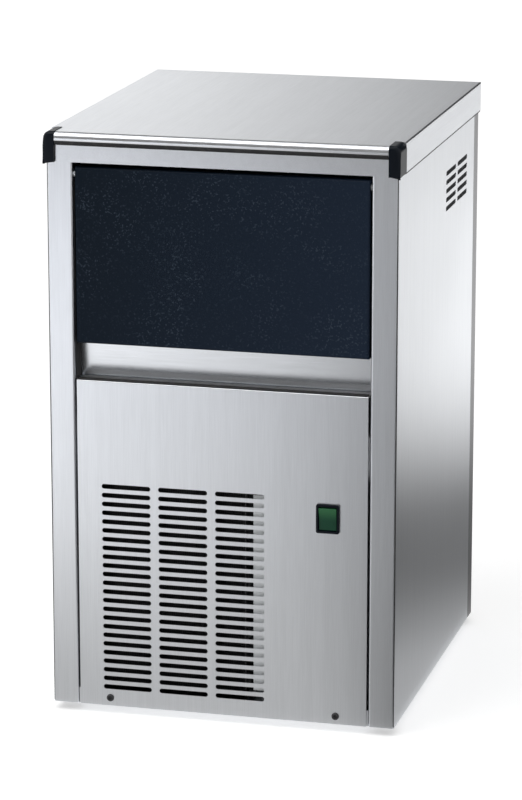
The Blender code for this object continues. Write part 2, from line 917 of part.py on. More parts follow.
def make_lower_panel():
    half = opening_half - panel_side_gap
    path = [
        (face_y + panel_ledge, panel_top - panel_lip),
        (face_y + panel_ledge, panel_top),
        (face_y, panel_top),
        (face_y, body_bottom),
    ]
    panel = folded_sheet("lower_front_panel", path, "yz", (-half, half), sheet, STEEL, panel_rim_radius)
    wall = (face_y - overrun, panel_back_y + overrun)
    first_x = grille_left_inset + slot_length / 2 - half_body
    first_z = body_bottom + grille_bottom
    cut(panel, slot_field("grille", first_x, wall, first_z, grille_columns, grille_rows, False))
    for side, word in ((-1, "left"), (1, "right")):
        x = side * (half_body - panel_screw_inset)
        hole_place = (x, wall[0], screw_z)
        radius = screw_radius + fit_gap
        cut(panel, cylinder(f"panel_screw_hole_{word}", radius, wall[1] - wall[0], hole_place, (0, 1, 0)))
        profile = [
            (0, screw_head_height),
            (screw_head_radius - screw_recess, screw_head_height),
            (screw_head_radius, screw_head_height / 2),
            (screw_head_radius, 0),
            (screw_radius, 0),
            (screw_radius, -screw_length),
            (0, -screw_length),
        ]
        place = (x, face_y - fit_gap, screw_z)
        screw = turned(f"panel_screw_{word}", profile, place, (0, -1, 0), BLACK_PLASTIC)
        head_y = (face_y - fit_gap - screw_head_height - overrun, face_y - fit_gap - screw_recess)
        long = (screw_head_radius - screw_recess) * screw_slot_share
        short = screw_slot_width / 2
        for bar, (half_x, half_z) in {"flat": (long, short), "upright": (short, long)}.items():
            slot_x = (x - half_x, x + half_x)
            cut(screw, block(f"screw_{bar}_{word}", slot_x, head_y, (screw_z - half_z, screw_z + half_z)))
    centre = switch_place
    half_hole_x = bezel_width / 2 - switch_lip + fit_gap
    half_hole_z = bezel_height / 2 - switch_lip + fit_gap
    hole_x = (centre.x - half_hole_x, centre.x + half_hole_x)
    cut(panel, block("switch_hole", hole_x, wall, (centre.z - half_hole_z, centre.z + half_hole_z)))


def make_switch():
    centre = switch_place
    front_y = face_y - fit_gap - bezel_thickness
    bezel = (bezel_width / 2, bezel_height / 2)
    housing = block(
        "switch_housing",
        (centre.x - bezel[0], centre.x + bezel[0]),
        (front_y, face_y - fit_gap),
        (centre.z - bezel[1], centre.z + bezel[1]),
        BLACK_PLASTIC,
    )
    body = (bezel[0] - switch_lip, bezel[1] - switch_lip)
    join(
        housing,
        block(
            "switch_body",
            (centre.x - body[0], centre.x + body[0]),
            (face_y - fit_gap - bezel_thickness / 2, face_y + switch_body_depth),
            (centre.z - body[1], centre.z + body[1]),
        ),
    )
    pocket = (rocker_width / 2 + fit_gap, rocker_height / 2 + rocker_play)
    cut(
        housing,
        block(
            "rocker_pocket",
            (centre.x - pocket[0], centre.x + pocket[0]),
            (front_y - overrun, face_y + switch_pocket_depth),
            (centre.z - pocket[1], centre.z + pocket[1]),
        ),
    )
    reach = rocker_height / 2
    shape = [
        (-rocker_front - rocker_dip, reach),
        (-rocker_front, 0),
        (-rocker_front - rocker_dip, -reach),
        (rocker_back - rocker_dip, -reach),
        (rocker_back, 0),
        (rocker_back - rocker_dip, reach),
    ]
    cosine = math.cos(rocker_tilt)
    sine = math.sin(rocker_tilt)
    tilted = [(y * cosine - z * sine, y * sine + z * cosine) for y, z in shape]
    pivot = pivot_at("rocker_pivot", centre + Vector((0, rocker_pivot_depth, 0)))
    rocker = plate("switch_rocker", [tilted], "yz", (-rocker_width / 2, rocker_width / 2), GREEN_LENS)
    rocker.parent = pivot


def make_door():
    ways = ((1, 0, 0), (-1, 0, 0), (0, 0, 1), (0, 0, -1))
    door = open_shell(
        "door_panel",
        (-door_half, door_half),
        (face_y, face_y + door_depth),
        (door_bottom, door_top),
        door_wall,
        [(0, 1, 0)],
        NAVY_PLASTIC,
        [((0, -1, 0), way, door_rounding, door_edge_steps) for way in ways],
    )
    carry(door, pivot_at("door_hinge", door_pivot))
    for side, word in ((-1, "left"), (1, "right")):
        hole = cylinder(
            f"door_bore_{word}",
            door_pin_radius + fit_gap,
            door_wall + 2 * overrun,
            (side * (door_half + overrun), door_pivot.y, door_pivot.z),
            (-side, 0, 0),
            sides=pin_sides,
        )
        cut(door, hole)
        head_start = opening_half + sheet + fit_gap
        pin_tip = door_half - door_wall - door_pin_end
        profile = [
            (0, door_pin_head_thickness),
            (door_pin_head, door_pin_head_thickness),
            (door_pin_head, 0),
            (door_pin_radius, 0),
            (door_pin_radius, pin_tip - head_start),
            (0, pin_tip - head_start),
        ]
        place = (side * head_start, door_pivot.y, door_pivot.z)
        turned(f"door_pin_{word}", profile, place, (side, 0, 0), STEEL, pin_sides)


def make_trim():
    lip_y = liner_front_y + liner_wall + fit_gap + sheet
    path = [
        (lip_y, trim_top - trim_lip),
        (lip_y, trim_top),
        (face_y + trim_top_depth, trim_top),
        (face_y + trim_bottom_depth, panel_top),
        (face_y + trim_bottom_depth, panel_top - trim_skirt),
    ]
    half = opening_half - fit_gap
    folded_sheet("bin_front_trim", path, "yz", (-half, half), sheet, STEEL, radius=0)


def make_bin():
    deck_path = [
        (fit_gap - inside_x, deck_top - deck_flange),
        (fit_gap - inside_x, deck_top),
        (inside_x - fit_gap, deck_top),
        (inside_x - fit_gap, deck_top - deck_flange),
    ]
    zx_path = [(z, x) for x, z in deck_path]
    deck = folded_sheet("bin_deck", zx_path, "zx", (foam_front_y, foam_back_y), sheet, GALVANISED)
    insulation = open_shell(
        "bin_insulation",
        (-foam_half, foam_half),
        (foam_front_y, foam_back_y),
        (foam_bottom, cover_bottom),
        foam,
        [(0, 0, 1)],
        FOAM,
    )
    liner = open_shell(
        "bin_liner",
        (-liner_half, liner_half),
        (liner_front_y, liner_back_y),
        (liner_bottom, cover_bottom),
        liner_wall,
        [(0, 0, 1)],
        WHITE_PLASTIC,
    )
    mouth_z = (front_wall_top, cover_bottom + overrun)
    foam_mouth_y = (foam_front_y - overrun, foam_front_y + foam + fit_gap / 2)
    cut(insulation, block("foam_mouth", (-liner_half, liner_half), foam_mouth_y, mouth_z))
    liner_mouth_y = (liner_front_y - fit_gap / 2, liner_front_y + liner_wall + overrun)
    cut(liner, block("liner_mouth", (-liner_inside, liner_inside), liner_mouth_y, mouth_z))
    for piece, start, end, radius in (
        (deck, deck_top - sheet - overrun, deck_top + overrun, drain_radius + fit_gap),
        (insulation, foam_bottom - overrun, foam_bottom + foam + overrun, drain_radius + fit_gap),
        (liner, liner_bottom - overrun, bin_floor + overrun, drain_bore),
    ):
        place = (-drain_offset, drain_y, start)
        cut(piece, cylinder(f"drain_hole_{piece.name}", radius, end - start, place, (0, 0, 1)))


def make_ice_unit():
    sump = open_shell(
        "water_sump",
        (-sump_half, sump_half),
        (unit_front_y, unit_back_y),
        (sump_bottom, sump_top),
        unit_wall,
        [(0, 0, 1)],
        GREY_PLASTIC,
    )
    plug_hole = standpipe_plug_radius + fit_gap
    place = (standpipe_x, standpipe_y, sump_bottom - overrun)
    cut(sump, cylinder("standpipe_hole", plug_hole, unit_wall + 2 * overrun, place, (0, 0, 1)))

    path = [
        (housing_left_x, unit_front_y),
        (housing_left_x, unit_back_y),
        (housing_right_x, unit_back_y),
        (housing_right_x, unit_front_y),
    ]
    run = (housing_bottom, housing_top)
    housing = folded_sheet("spray_housing", path[::-1], "xy", run, unit_wall, WHITE_PLASTIC)
    rod_hole_x = (housing_left_x - overrun, housing_right_x + overrun)
    rod_hole = curtain_rod_radius + fit_gap
    place = (rod_hole_x[0], rod_y, rod_z)
    hole_length = rod_hole_x[1] - rod_hole_x[0]
    cut(housing, cylinder("rod_holes", rod_hole, hole_length, place, (1, 0, 0), None, round_sides))

    evaporator = block(
        "evaporator_plate",
        (housing_left_x, housing_right_x),
        (cup_first_y - cup_pitch / 2, unit_back_y),
        (plate_bottom, plate_top),
        TINNED_COPPER,
    )
    mouth = plate_bottom + evaporator_plate_thickness / 2 - cup_height
    up = (0, 0, 1)
    place = (cup_first_x, cup_first_y, mouth)
    cups = cylinder("cup_walls", cup_mouth_radius, cup_height, place, up, None, cup_sides, cup_top_radius)
    inside = cylinder(
        "cup_hollows",
        cup_mouth_radius - cup_wall,
        cup_height - cup_wall + overrun,
        (cup_first_x, cup_first_y, mouth - overrun),
        up,
        None,
        cup_sides,
        cup_top_radius - cup_wall,
    )
    for shape in (cups, inside):
        repeat(shape, cup_columns, (cup_pitch, 0, 0))
        repeat(shape, cup_rows, (0, cup_pitch, 0))
    join(evaporator, cups)
    cut(evaporator, inside)

    turns = []
    ends = (coil_left_x, coil_right_x)
    for row in range(cup_rows):
        y = cup_first_y + row * cup_pitch
        near, far = ends if row % 2 == 0 else ends[::-1]
        turns += [(near, y, coil_z), (far, y, coil_z)]
    tube("evaporator_coil", turns, coil_radius, cup_pitch / 2, COPPER, pipe_side_steps)

    chute_inside = (housing_left_x + unit_wall + fit_gap, housing_right_x - unit_wall - fit_gap)
    chute_path = [
        (rod_y + flap_knuckle_radius + flap_thickness, housing_bottom + chute_front_rise),
        (unit_back_y - unit_wall - fit_gap - chute_thickness, housing_bottom + chute_back_rise),
    ]
    chute = folded_sheet("ice_chute", chute_path, "yz", chute_inside, chute_thickness, WHITE_PLASTIC)
    chute_pitch = (chute_inside[1] - chute_inside[0]) / chute_slots
    first_slot = chute_inside[0] + chute_pitch / 2
    slot = block(
        "chute_slots",
        (first_slot - chute_slot_width / 2, first_slot + chute_slot_width / 2),
        (chute_path[0][0] + chute_slot_margin, chute_path[1][0] - chute_slot_margin),
        (housing_bottom, housing_top - cup_height),
    )
    cut(chute, repeat(slot, chute_slots, (chute_pitch, 0, 0)))

    bar_bottom = sump_floor + spray_bar_rise
    bar_top = bar_bottom + spray_bar_height
    bar = block(
        "spray_bar",
        (housing_left_x + unit_wall, housing_right_x - unit_wall),
        (unit_front_y + unit_wall + fit_gap, unit_back_y - unit_wall - fit_gap),
        (bar_bottom, bar_top),
        GREY_PLASTIC,
    )
    place = (cup_first_x, cup_first_y, bar_top - nozzle_height / 2)
    length = nozzle_height * 3 / 2
    nozzle = cylinder("nozzles", nozzle_radius, length, place, up, None, small_sides, nozzle_tip_radius)
    repeat(nozzle, cup_columns, (cup_pitch, 0, 0))
    join(bar, repeat(nozzle, cup_rows, (0, cup_pitch, 0)))


def make_curtain():
    rod_ends = (housing_left_x + fit_gap, housing_right_x - fit_gap)
    length = rod_ends[1] - rod_ends[0]
    place = (rod_ends[0], rod_y, rod_z)
    cylinder("curtain_rod", curtain_rod_radius, length, place, (1, 0, 0), STEEL, round_sides)
    inside = housing_inside_width - (curtain_flaps + 1) * flap_gap
    width = inside / curtain_flaps
    half = flap_thickness / 2
    opening = math.asin(half / flap_knuckle_radius)
    down = -math.pi / 2
    knuckle = arc((0, 0), flap_knuckle_radius, down + opening, down - opening + 2 * math.pi, knuckle_steps)
    blade = [(-half, -flap_length), (half, -flap_length)]
    bore = arc((0, 0), curtain_rod_radius + fit_gap, 0, 2 * math.pi, knuckle_steps)[:-1]
    for number in range(curtain_flaps):
        left = housing_left_x + unit_wall + flap_gap + number * (width + flap_gap)
        pivot = pivot_at(f"flap_pivot_{number + 1}", (left + width / 2, rod_y, rod_z))
        run = (-width / 2, width / 2)
        flap = plate(f"curtain_flap_{number + 1}", [knuckle + blade, bore], "yz", run, CLEAR_PLASTIC)
        flap.parent = pivot


def make_pump():
    axis = Vector((pump_x, unit_middle_y, 0))
    half = pump_plate_width / 2
    housing = block(
        "pump_housing",
        (pump_x - half, pump_x + half),
        (unit_front_y, unit_back_y),
        (pump_plate_bottom, pump_plate_top),
        GREY_PLASTIC,
    )
    body = [
        (0, pump_plate_top - pump_plate_thickness / 2),
        (pump_neck_radius, pump_plate_top - pump_plate_thickness / 2),
        (pump_neck_radius, volute_top),
        (pump_volute_radius, volute_top),
        (pump_volute_radius, volute_bottom),
        (0, volute_bottom),
    ]
    join(housing, turned("pump_body", body, axis, (0, 0, 1), None, pump_sides))
    outlet_z = volute_bottom + pump_volute_height / 2
    length = housing_left_x + unit_wall - fit_gap - pump_x
    place = (pump_x, unit_middle_y, outlet_z)
    join(housing, cylinder("pump_outlet", pump_inlet_radius, length, place, (1, 0, 0), None, round_sides))
    bore = pump_shaft_radius + fit_gap
    chamber = pump_volute_radius - pump_wall
    hollow = [
        (0, pump_plate_top + overrun),
        (bore, pump_plate_top + overrun),
        (bore, volute_top - pump_wall),
        (chamber, volute_top - pump_wall),
        (chamber, volute_bottom + pump_wall),
        (pump_inlet_radius, volute_bottom + pump_wall),
        (pump_inlet_radius, volute_bottom - overrun),
        (0, volute_bottom - overrun),
    ]
    cut(housing, turned("pump_hollow", hollow, axis, (0, 0, 1), None, pump_sides))

    top = pump_motor_bottom + pump_motor_height
    can = [
        (0, top),
        (pump_motor_radius - pump_wall, top),
        (pump_motor_radius, top - pump_wall),
        (pump_motor_radius, pump_motor_bottom),
        (0, pump_motor_bottom),
    ]
    motor = turned("pump_motor", can, axis, (0, 0, 1), BLACK_PLASTIC, pump_sides)
    place = axis + Vector((0, 0, pump_motor_bottom - overrun))
    depth = pump_shaft_socket + overrun
    cut(motor, cylinder("shaft_socket", bore, depth, place, (0, 0, 1), None, pump_sides))

    pivot = pivot_at("impeller_pivot", axis + Vector((0, 0, volute_bottom)))
    disc_bottom = pump_wall + impeller_vane_height + pump_wall
    shaft = [
        (0, pump_motor_bottom + pump_shaft_socket - fit_gap - volute_bottom),
        (pump_shaft_radius, pump_motor_bottom + pump_shaft_socket - fit_gap - volute_bottom),
        (pump_shaft_radius, disc_bottom + impeller_thickness),
        (impeller_radius, disc_bottom + impeller_thickness),
        (impeller_radius, disc_bottom),
        (0, disc_bottom),
    ]
    impeller = turned("pump_impeller", shaft, (0, 0, 0), (0, 0, 1), STEEL, pump_sides)
    impeller.parent = pivot
    for number in range(impeller_vanes // 2):
        vane = block(
            f"impeller_vane_{number + 1}",
            (-impeller_radius + impeller_vane_thickness, impeller_radius - impeller_vane_thickness),
            (-impeller_vane_thickness / 2, impeller_vane_thickness / 2),
            (disc_bottom - impeller_vane_height, disc_bottom + impeller_thickness / 2),
        )
        vane.rotation_euler = (0, 0, 2 * math.pi * number / impeller_vanes)
        join(impeller, vane)
        vane.parent = pivot

    seat = sump_floor + fit_gap
    pivot = pivot_at("standpipe_seat", (standpipe_x, standpipe_y, seat))
    pipe = [
        (standpipe_bore, standpipe_height),
        (standpipe_radius, standpipe_height),
        (standpipe_radius, 0),
        (standpipe_plug_radius, 0),
        (standpipe_plug_radius, -unit_wall - fit_gap),
        (standpipe_bore, -unit_wall - fit_gap),
    ]
    turned("overflow_standpipe", pipe, (0, 0, 0), (0, 0, 1), GREY_PLASTIC, hollow=True).parent = pivot


def make_condenser():
    pitch = (condenser_width - condenser_fin) / (condenser_fins - 1)
    core = condenser_depth * condenser_core_share / 2
    middle = (condenser_front_y + condenser_back_y) / 2
    front = []
    back = []
    for number in range(condenser_fins):
        left = condenser_left_x + number * pitch
        right = left + condenser_fin
        front += [(left, condenser_front_y), (right, condenser_front_y)]
        back += [(left, condenser_back_y), (right, condenser_back_y)]
        if number < condenser_fins - 1:
            front += [(right, middle - core), (left + pitch, middle - core)]
            back += [(right, middle + core), (left + pitch, middle + core)]
    plate("condenser", [front + back[::-1]], "xy", (condenser_bottom, condenser_top), BLACK_PAINT)

    run = (condenser_left_x, condenser_right_x)
    hood_bottom = condenser_top + fit_gap
    hood_top = hood_bottom + sheet
    shroud = block("fan_shroud", run, (shroud_y, shroud_y + sheet), (condenser_bottom, hood_top), GALVANISED)
    hood = block("shroud_hood", run, (condenser_front_y, shroud_y + sheet / 2), (hood_bottom, hood_top))
    centre = Vector((condenser_middle_x, shroud_y, fan_z))
    collar = cylinder(
        "shroud_collar",
        shroud_hole_radius + sheet,
        shroud_collar_depth,
        centre + Vector((0, sheet / 2, 0)),
        (0, 1, 0),
        sides=hole_sides,
    )
    place = centre - Vector((0, overrun, 0))
    length = shroud_collar_depth + sheet + 2 * overrun
    join(shroud, hood, collar)
    cut(shroud, cylinder("fan_hole", shroud_hole_radius, length, place, (0, 1, 0), None, hole_sides))
    strap_rise = shroud_hole_radius + strap_gauge
    strap_path = [
        (shroud_y + sheet / 2, fan_z - strap_rise),
        (strap_y, fan_z - strap_rise),
        (strap_y, fan_z + strap_rise),
        (shroud_y + sheet / 2, fan_z + strap_rise),
    ]
    strap_run = (condenser_middle_x - strap_width / 2, condenser_middle_x + strap_width / 2)
    strap = folded_sheet("motor_strap", strap_path, "yz", strap_run, strap_gauge, None)
    join(shroud, strap)
    boss_hole = fan_boss_radius + fit_gap
    place = (condenser_middle_x, strap_y - strap_gauge - overrun, fan_z)
    cut(shroud, cylinder("boss_hole", boss_hole, strap_gauge + 2 * overrun, place, (0, 1, 0)))

    motor_start = strap_y + fit_gap
    motor_profile = [
        (0, fan_motor_length),
        (fan_motor_radius * fan_end_share, fan_motor_length),
        (fan_motor_radius, fan_motor_length * fan_end_share),
        (fan_motor_radius, 0),
        (fan_boss_radius, 0),
        (fan_boss_radius, -fan_boss_length),
        (fan_shaft_radius, -fan_boss_length),
        (fan_shaft_radius, blade_y - fan_shaft_end - motor_start),
        (0, blade_y - fan_shaft_end - motor_start),
    ]
    place = (condenser_middle_x, motor_start, fan_z)
    turned("fan_motor", motor_profile, place, (0, 1, 0), BLACK_PAINT)

    pivot = pivot_at("fan_pivot", (condenser_middle_x, blade_y, fan_z))
    bore = fan_shaft_radius + fit_gap
    hub_profile = [
        (bore, blade_hub_length / 2),
        (blade_hub_radius, blade_hub_length / 2),
        (blade_hub_radius, -blade_hub_length / 2),
        (bore, -blade_hub_length / 2),
    ]
    fan = turned("fan_blade", hub_profile, (0, 0, 0), (0, 1, 0), ALUMINIUM, hollow=True)
    fan.parent = pivot
    root = blade_hub_radius * blade_root_share
    for number in range(blade_count):
        blade = block(
            f"blade_{number + 1}",
            (-blade_chord / 2, blade_chord / 2),
            (-blade_thickness / 2, blade_thickness / 2),
            (root, blade_radius),
        )
        for vertex in blade.data.vertices:
            if vertex.co.z < 0:
                vertex.co.x *= blade_hub_radius / blade_chord
        spin = Matrix.Rotation(2 * math.pi * number / blade_count, 4, "Y")
        blade.parent = pivot
        blade.matrix_basis = spin @ Matrix.Translation(blade.location) @ Matrix.Rotation(blade_pitch, 4, "Z")
        join(fan, blade)


def make_compressor():
    x = compressor_x
    foot = block(
        "compressor",
        (x - compressor_foot_width / 2, x + compressor_foot_width / 2),
        (compressor_y - compressor_foot_depth / 2, compressor_y + compressor_foot_depth / 2),
        (foot_plate_bottom, pot_bottom),
        BLACK_PAINT,
    )
    seam = pot_bottom + compressor_seam_height
    top = pot_bottom + compressor_height
    shoulder = top - compressor_crown
    crown = [
        (compressor_radius * math.cos(angle), shoulder + compressor_crown * math.sin(angle))
        for angle in (math.pi / 2 * step / crown_steps for step in range(crown_steps - 1, -1, -1))
    ]
    pot = [
        (0, top),
        *crown,
        (compressor_radius, seam + compressor_seam),
        (compressor_radius + compressor_seam, seam),
        (compressor_radius, seam - compressor_seam),
        (compressor_radius, pot_bottom - compressor_foot_thickness / 2),
        (0, pot_bottom - compressor_foot_thickness / 2),
    ]
    join(foot, turned("compressor_pot", pot, (x, compressor_y, 0), (0, 0, 1), None, compressor_sides))
    stubs = {
        "suction_stub": (suction_height, (0, 1, 0)),
        "discharge_stub": (discharge_height, (-1, 0, 0)),
    }
    for word, (height, way) in stubs.items():
        axis = Vector((x, compressor_y, pot_bottom + height))
        start = axis + Vector(way) * compressor_radius * stub_root_share
        length = compressor_radius * (1 - stub_root_share) + stub_length
        join(foot, cylinder(word, pipe_radius, length, start, way, sides=small_sides))
    profile = [
        (0, mount_height),
        (mount_radius, mount_height),
        (mount_waist, mount_height / 2),
        (mount_radius, 0),
        (0, 0),
    ]
    for side, word in ((-1, "left"), (1, "right")):
        for way, where in ((-1, "front"), (1, "rear")):
            place = (
                x + side * (compressor_foot_width / 2 - mount_inset),
                compressor_y + way * (compressor_foot_depth / 2 - mount_inset),
                mount_bottom,
            )
            turned(f"compressor_mount_{where}_{word}", profile, place, (0, 0, 1), RUBBER, round_sides)
    back = compressor_y - compressor_radius - compressor_seam - fit_gap
    block(
        "terminal_cover",
        (x - terminal_width / 2, x + terminal_width / 2),
        (back - terminal_depth, back),
        (seam - terminal_height / 2, seam + terminal_height / 2),
        BLACK_PLASTIC,
    )


def make_pipes():
    suction_z = pot_bottom + suction_height
    coil_end = Vector((coil_right_x + fit_gap, cup_last_y, coil_z))
    if cup_rows % 2 == 0:
        coil_end.x = coil_left_x - fit_gap
    riser_x = coil_right_x + riser_offset
    suction = [
        coil_end,
        (riser_x, cup_last_y, coil_z),
        (riser_x, cup_last_y, pipe_over_z),
        (riser_x, duct_y, pipe_over_z),
        (riser_x, duct_y, deck_top - slant_below_deck),
        (compressor_x, duct_y, suction_z + suction_drop),
        (compressor_x, duct_y, suction_z),
        (compressor_x, compressor_y + compressor_radius + stub_length + fit_gap, suction_z),
    ]
    tube("suction_pipe", suction, pipe_radius, pipe_bend, COPPER, pipe_side_steps)

    discharge_start = compressor_x - compressor_radius - stub_length - fit_gap
    low_z = pot_bottom + discharge_height
    discharge = [
        (discharge_start, compressor_y, low_z),
        (discharge_x, compressor_y, low_z),
        (discharge_x, compressor_y, discharge_z),
        (discharge_x, (condenser_front_y + condenser_back_y) / 2, discharge_z),
        (discharge_x, (condenser_front_y + condenser_back_y) / 2, condenser_top + 2 * fit_gap + sheet),
    ]
    tube("discharge_pipe", discharge, pipe_radius, pipe_bend, COPPER, pipe_side_steps)

    block_back = compressor_y + hot_gas_pipe_offset + hot_gas_block
    half = hot_gas_block / 2
    valve = block(
        "hot_gas_valve",
        (discharge_x - half, discharge_x + half),
        (block_back - hot_gas_block, block_back),
        (hot_gas_z - half, hot_gas_z + half),
        BRASS,
    )
    coil_place = (discharge_x, block_back - half, hot_gas_z + half - overrun)
    coil_length = deck_top - sheet - fit_gap - coil_place[2]
    join(valve, cylinder("hot_gas_coil", hot_gas_coil_radius, coil_length, coil_place, (0, 0, 1)))
    place = (discharge_x, compressor_y + pipe_radius + fit_gap, hot_gas_z)
    length = hot_gas_pipe_offset - pipe_radius - fit_gap + half
    join(valve, cylinder("hot_gas_inlet", pipe_radius, length, place, (0, 1, 0), None, small_sides))
    coil_start = Vector((coil_left_x - fit_gap, cup_first_y, coil_z))
    fall_x = coil_left_x - fall_offset
    hot_gas = [
        (discharge_x, block_back + fit_gap, hot_gas_z),
        (discharge_x, duct_y, hot_gas_z),
        (discharge_x, duct_y, deck_top + slant_above_deck),
        (fall_x, duct_y, deck_top + slant_end_above_deck),
        (fall_x, duct_y, pipe_over_z),
        (fall_x, cup_first_y, pipe_over_z),
        (fall_x, cup_first_y, coil_z),
        coil_start,
    ]
    tube("hot_gas_pipe", hot_gas, pipe_radius, pipe_bend, COPPER, pipe_side_steps)

    drier_x = condenser_left_x - fit_gap - drier_radius
    drier_y = (condenser_front_y + condenser_back_y) / 2
    drier_bottom = condenser_bottom + drier_height
    profile = [
        (0, drier_length + drier_shoulder),
        (drier_neck_radius, drier_length + drier_shoulder),
        (drier_radius, drier_length),
        (drier_radius, 0),
        (drier_neck_radius, -drier_shoulder),
        (drier_neck_radius, -drier_shoulder - drier_neck),
        (0, -drier_shoulder - drier_neck),
    ]
    drier = turned("filter_drier", profile, (drier_x, drier_y, drier_bottom), (0, 0, 1), COPPER, round_sides)
    neck_top = drier_bottom + drier_length + drier_shoulder + drier_neck
    neck = [
        (drier_x, drier_y, drier_bottom + drier_length + drier_shoulder / 2),
        (drier_x, drier_y, neck_top),
        (condenser_left_x - fit_gap, drier_y, neck_top),
    ]
    join(drier, tube("drier_inlet", neck, drier_neck_radius, drier_neck / 2, None, pipe_side_steps))
    outlet_z = drier_bottom - drier_shoulder - drier_neck - fit_gap
    side_x = fall_x - pipe_radius - fit_gap
    capillary = [
        (drier_x, drier_y, outlet_z),
        (drier_x, drier_y, condenser_bottom + capillary_rise),
        (drier_x, duct_y, condenser_bottom + capillary_rise),
        (drier_x, duct_y, pipe_over_z),
        (drier_x, cup_first_y + cup_pitch, pipe_over_z),
        (side_x, cup_first_y + cup_pitch, pipe_over_z),
    ]
    tube("capillary_tube", capillary, capillary_radius, pipe_bend, COPPER, capillary_side_steps)


def make_electrics():
    bottom = body_bottom + electrical_bottom
    top = deck_top - deck_flange - electrical_top_gap
    right = inside_x - fit_gap
    back = electrical_front_y + electrical_depth
    box = block(
        "electrical_box",
        (electrical_left_x, right),
        (electrical_front_y, back),
        (bottom, top),
        GALVANISED,
    )
    round_edges(box, sheet, box_edge_steps)


def make_water_parts():
    valve_z = body_bottom + valve_height
    back = rear_inner_y - fit_gap
    half = valve_width / 2
    top = valve_z + valve_block_height / 2
    valve = block(
        "water_inlet_valve",
        (valve_x - half, valve_x + half),
        (back - valve_depth, back),
        (valve_z - valve_block_height / 2, top),
        WHITE_PLASTIC,
    )
    start_y = back - valve_depth / 2
    end_y = rear_face_y + inlet_reach
    place = Vector((valve_x, start_y, valve_z))
    join(valve, cylinder("inlet_thread", inlet_thread_radius, end_y - start_y, place, (0, 1, 0)))
    front = (valve_x, back - valve_depth - valve_solenoid_height, valve_z)
    solenoid_length = valve_solenoid_height + valve_depth / 2
    join(valve, cylinder("inlet_solenoid", valve_solenoid_radius, solenoid_length, front, (0, 1, 0)))
    barb_height = hose_radius + valve_block_height / 2
    place = Vector((valve_x, duct_y, valve_z))
    join(valve, cylinder("inlet_barb", valve_barb_radius, barb_height, place, (0, 0, 1), None, small_sides))
    bore_place = Vector((valve_x, back, valve_z))
    bore_length = end_y - back + overrun
    cut(valve, cylinder("inlet_bore", inlet_bore_radius, bore_length, bore_place, (0, 1, 0)))

    hose_x = hose_side_inset - sump_half
    hose_y = unit_back_y - hose_rear_inset
    supply = [
        (valve_x, duct_y, valve_z + barb_height + fit_gap),
        (valve_x, duct_y, deck_top),
        (hose_x, duct_y, deck_top + slant_end_above_deck),
        (hose_x, duct_y, pipe_over_z),
        (hose_x, hose_y, pipe_over_z),
        (hose_x, hose_y, sump_top - hose_end_height),
    ]
    tube("water_supply_hose", supply, hose_radius, hose_bend, CLEAR_PLASTIC)

    drain_z = body_bottom + drain_height
    drain = [
        (-drain_offset, drain_y, liner_bottom - fit_gap),
        (-drain_offset, drain_y, drain_z),
        (-drain_offset, rear_face_y + drain_reach, drain_z),
    ]
    hose = tube("drain_hose", drain, drain_radius, drain_bend, GREY_PLASTIC)
    bore_place = (-drain_offset, rear_face_y, drain_z)
    cut(hose, cylinder("drain_bore", drain_bore, drain_reach + overrun, bore_place, (0, 1, 0)))
    top_place = (-drain_offset, drain_y, liner_bottom - foam)
    cut(hose, cylinder("drain_top_bore", drain_bore, foam + overrun, top_place, (0, 0, 1)))

    gland = [
        (0, gland_reach),
        (gland_nose_radius, gland_reach),
        (gland_radius, gland_flange),
        (gland_radius, fit_gap),
        (gland_shank_radius, fit_gap),
        (gland_shank_radius, -gland_shank),
        (0, -gland_shank),
    ]
    place = Vector((gland_x, rear_face_y, body_bottom + gland_height))
    piece = turned("cord_gland", gland, place, (0, 1, 0), BLACK_PLASTIC)
    bore_place = place + Vector((0, gland_flange, 0))
    cut(piece, cylinder("gland_bore", gland_bore, gland_reach, bore_place, (0, 1, 0), sides=round_sides))


def shade_smooth():
    for obj in parts.objects:
        if obj.type == "MESH":
            obj.data.shade_smooth()
            obj.data.set_sharp_from_angle(angle=sharp_angle)


clear_scene()
parts = new_collection("ice_cube_maker")
cutters = new_collection("cutters")
make_base()
make_side_panels()
make_rear()
make_cover()
make_lower_panel()
make_switch()
make_door()
make_trim()
make_bin()
make_ice_unit()
make_curtain()
make_pump()
make_condenser()
make_compressor()
make_pipes()
make_electrics()
make_water_parts()
shade_smooth()
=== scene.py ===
import json
import math
from contextlib import contextmanager

import bmesh
import bpy
from mathutils import Matrix, Vector


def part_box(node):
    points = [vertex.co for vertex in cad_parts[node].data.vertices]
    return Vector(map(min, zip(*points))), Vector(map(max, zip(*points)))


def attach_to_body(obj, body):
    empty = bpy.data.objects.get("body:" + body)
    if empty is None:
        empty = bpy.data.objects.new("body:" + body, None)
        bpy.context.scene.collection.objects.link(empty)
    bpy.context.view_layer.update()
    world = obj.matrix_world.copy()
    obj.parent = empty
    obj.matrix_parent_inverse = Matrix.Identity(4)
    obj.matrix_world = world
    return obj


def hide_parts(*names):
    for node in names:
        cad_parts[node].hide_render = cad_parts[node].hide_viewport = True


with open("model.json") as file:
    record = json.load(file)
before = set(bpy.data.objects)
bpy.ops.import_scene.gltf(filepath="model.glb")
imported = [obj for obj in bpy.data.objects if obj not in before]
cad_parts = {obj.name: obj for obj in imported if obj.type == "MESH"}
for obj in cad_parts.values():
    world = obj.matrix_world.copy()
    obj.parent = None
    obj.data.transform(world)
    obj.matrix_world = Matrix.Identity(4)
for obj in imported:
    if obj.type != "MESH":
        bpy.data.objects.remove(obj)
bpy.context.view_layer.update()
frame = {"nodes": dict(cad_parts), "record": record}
nodes = frame["nodes"]
record = frame["record"]
slot_of = {part["node"]: part["material_slot"] for part in record["subparts"]}
body_of = {node: body for body, members in record["behaviour"]["bodies"].items() for node in members}

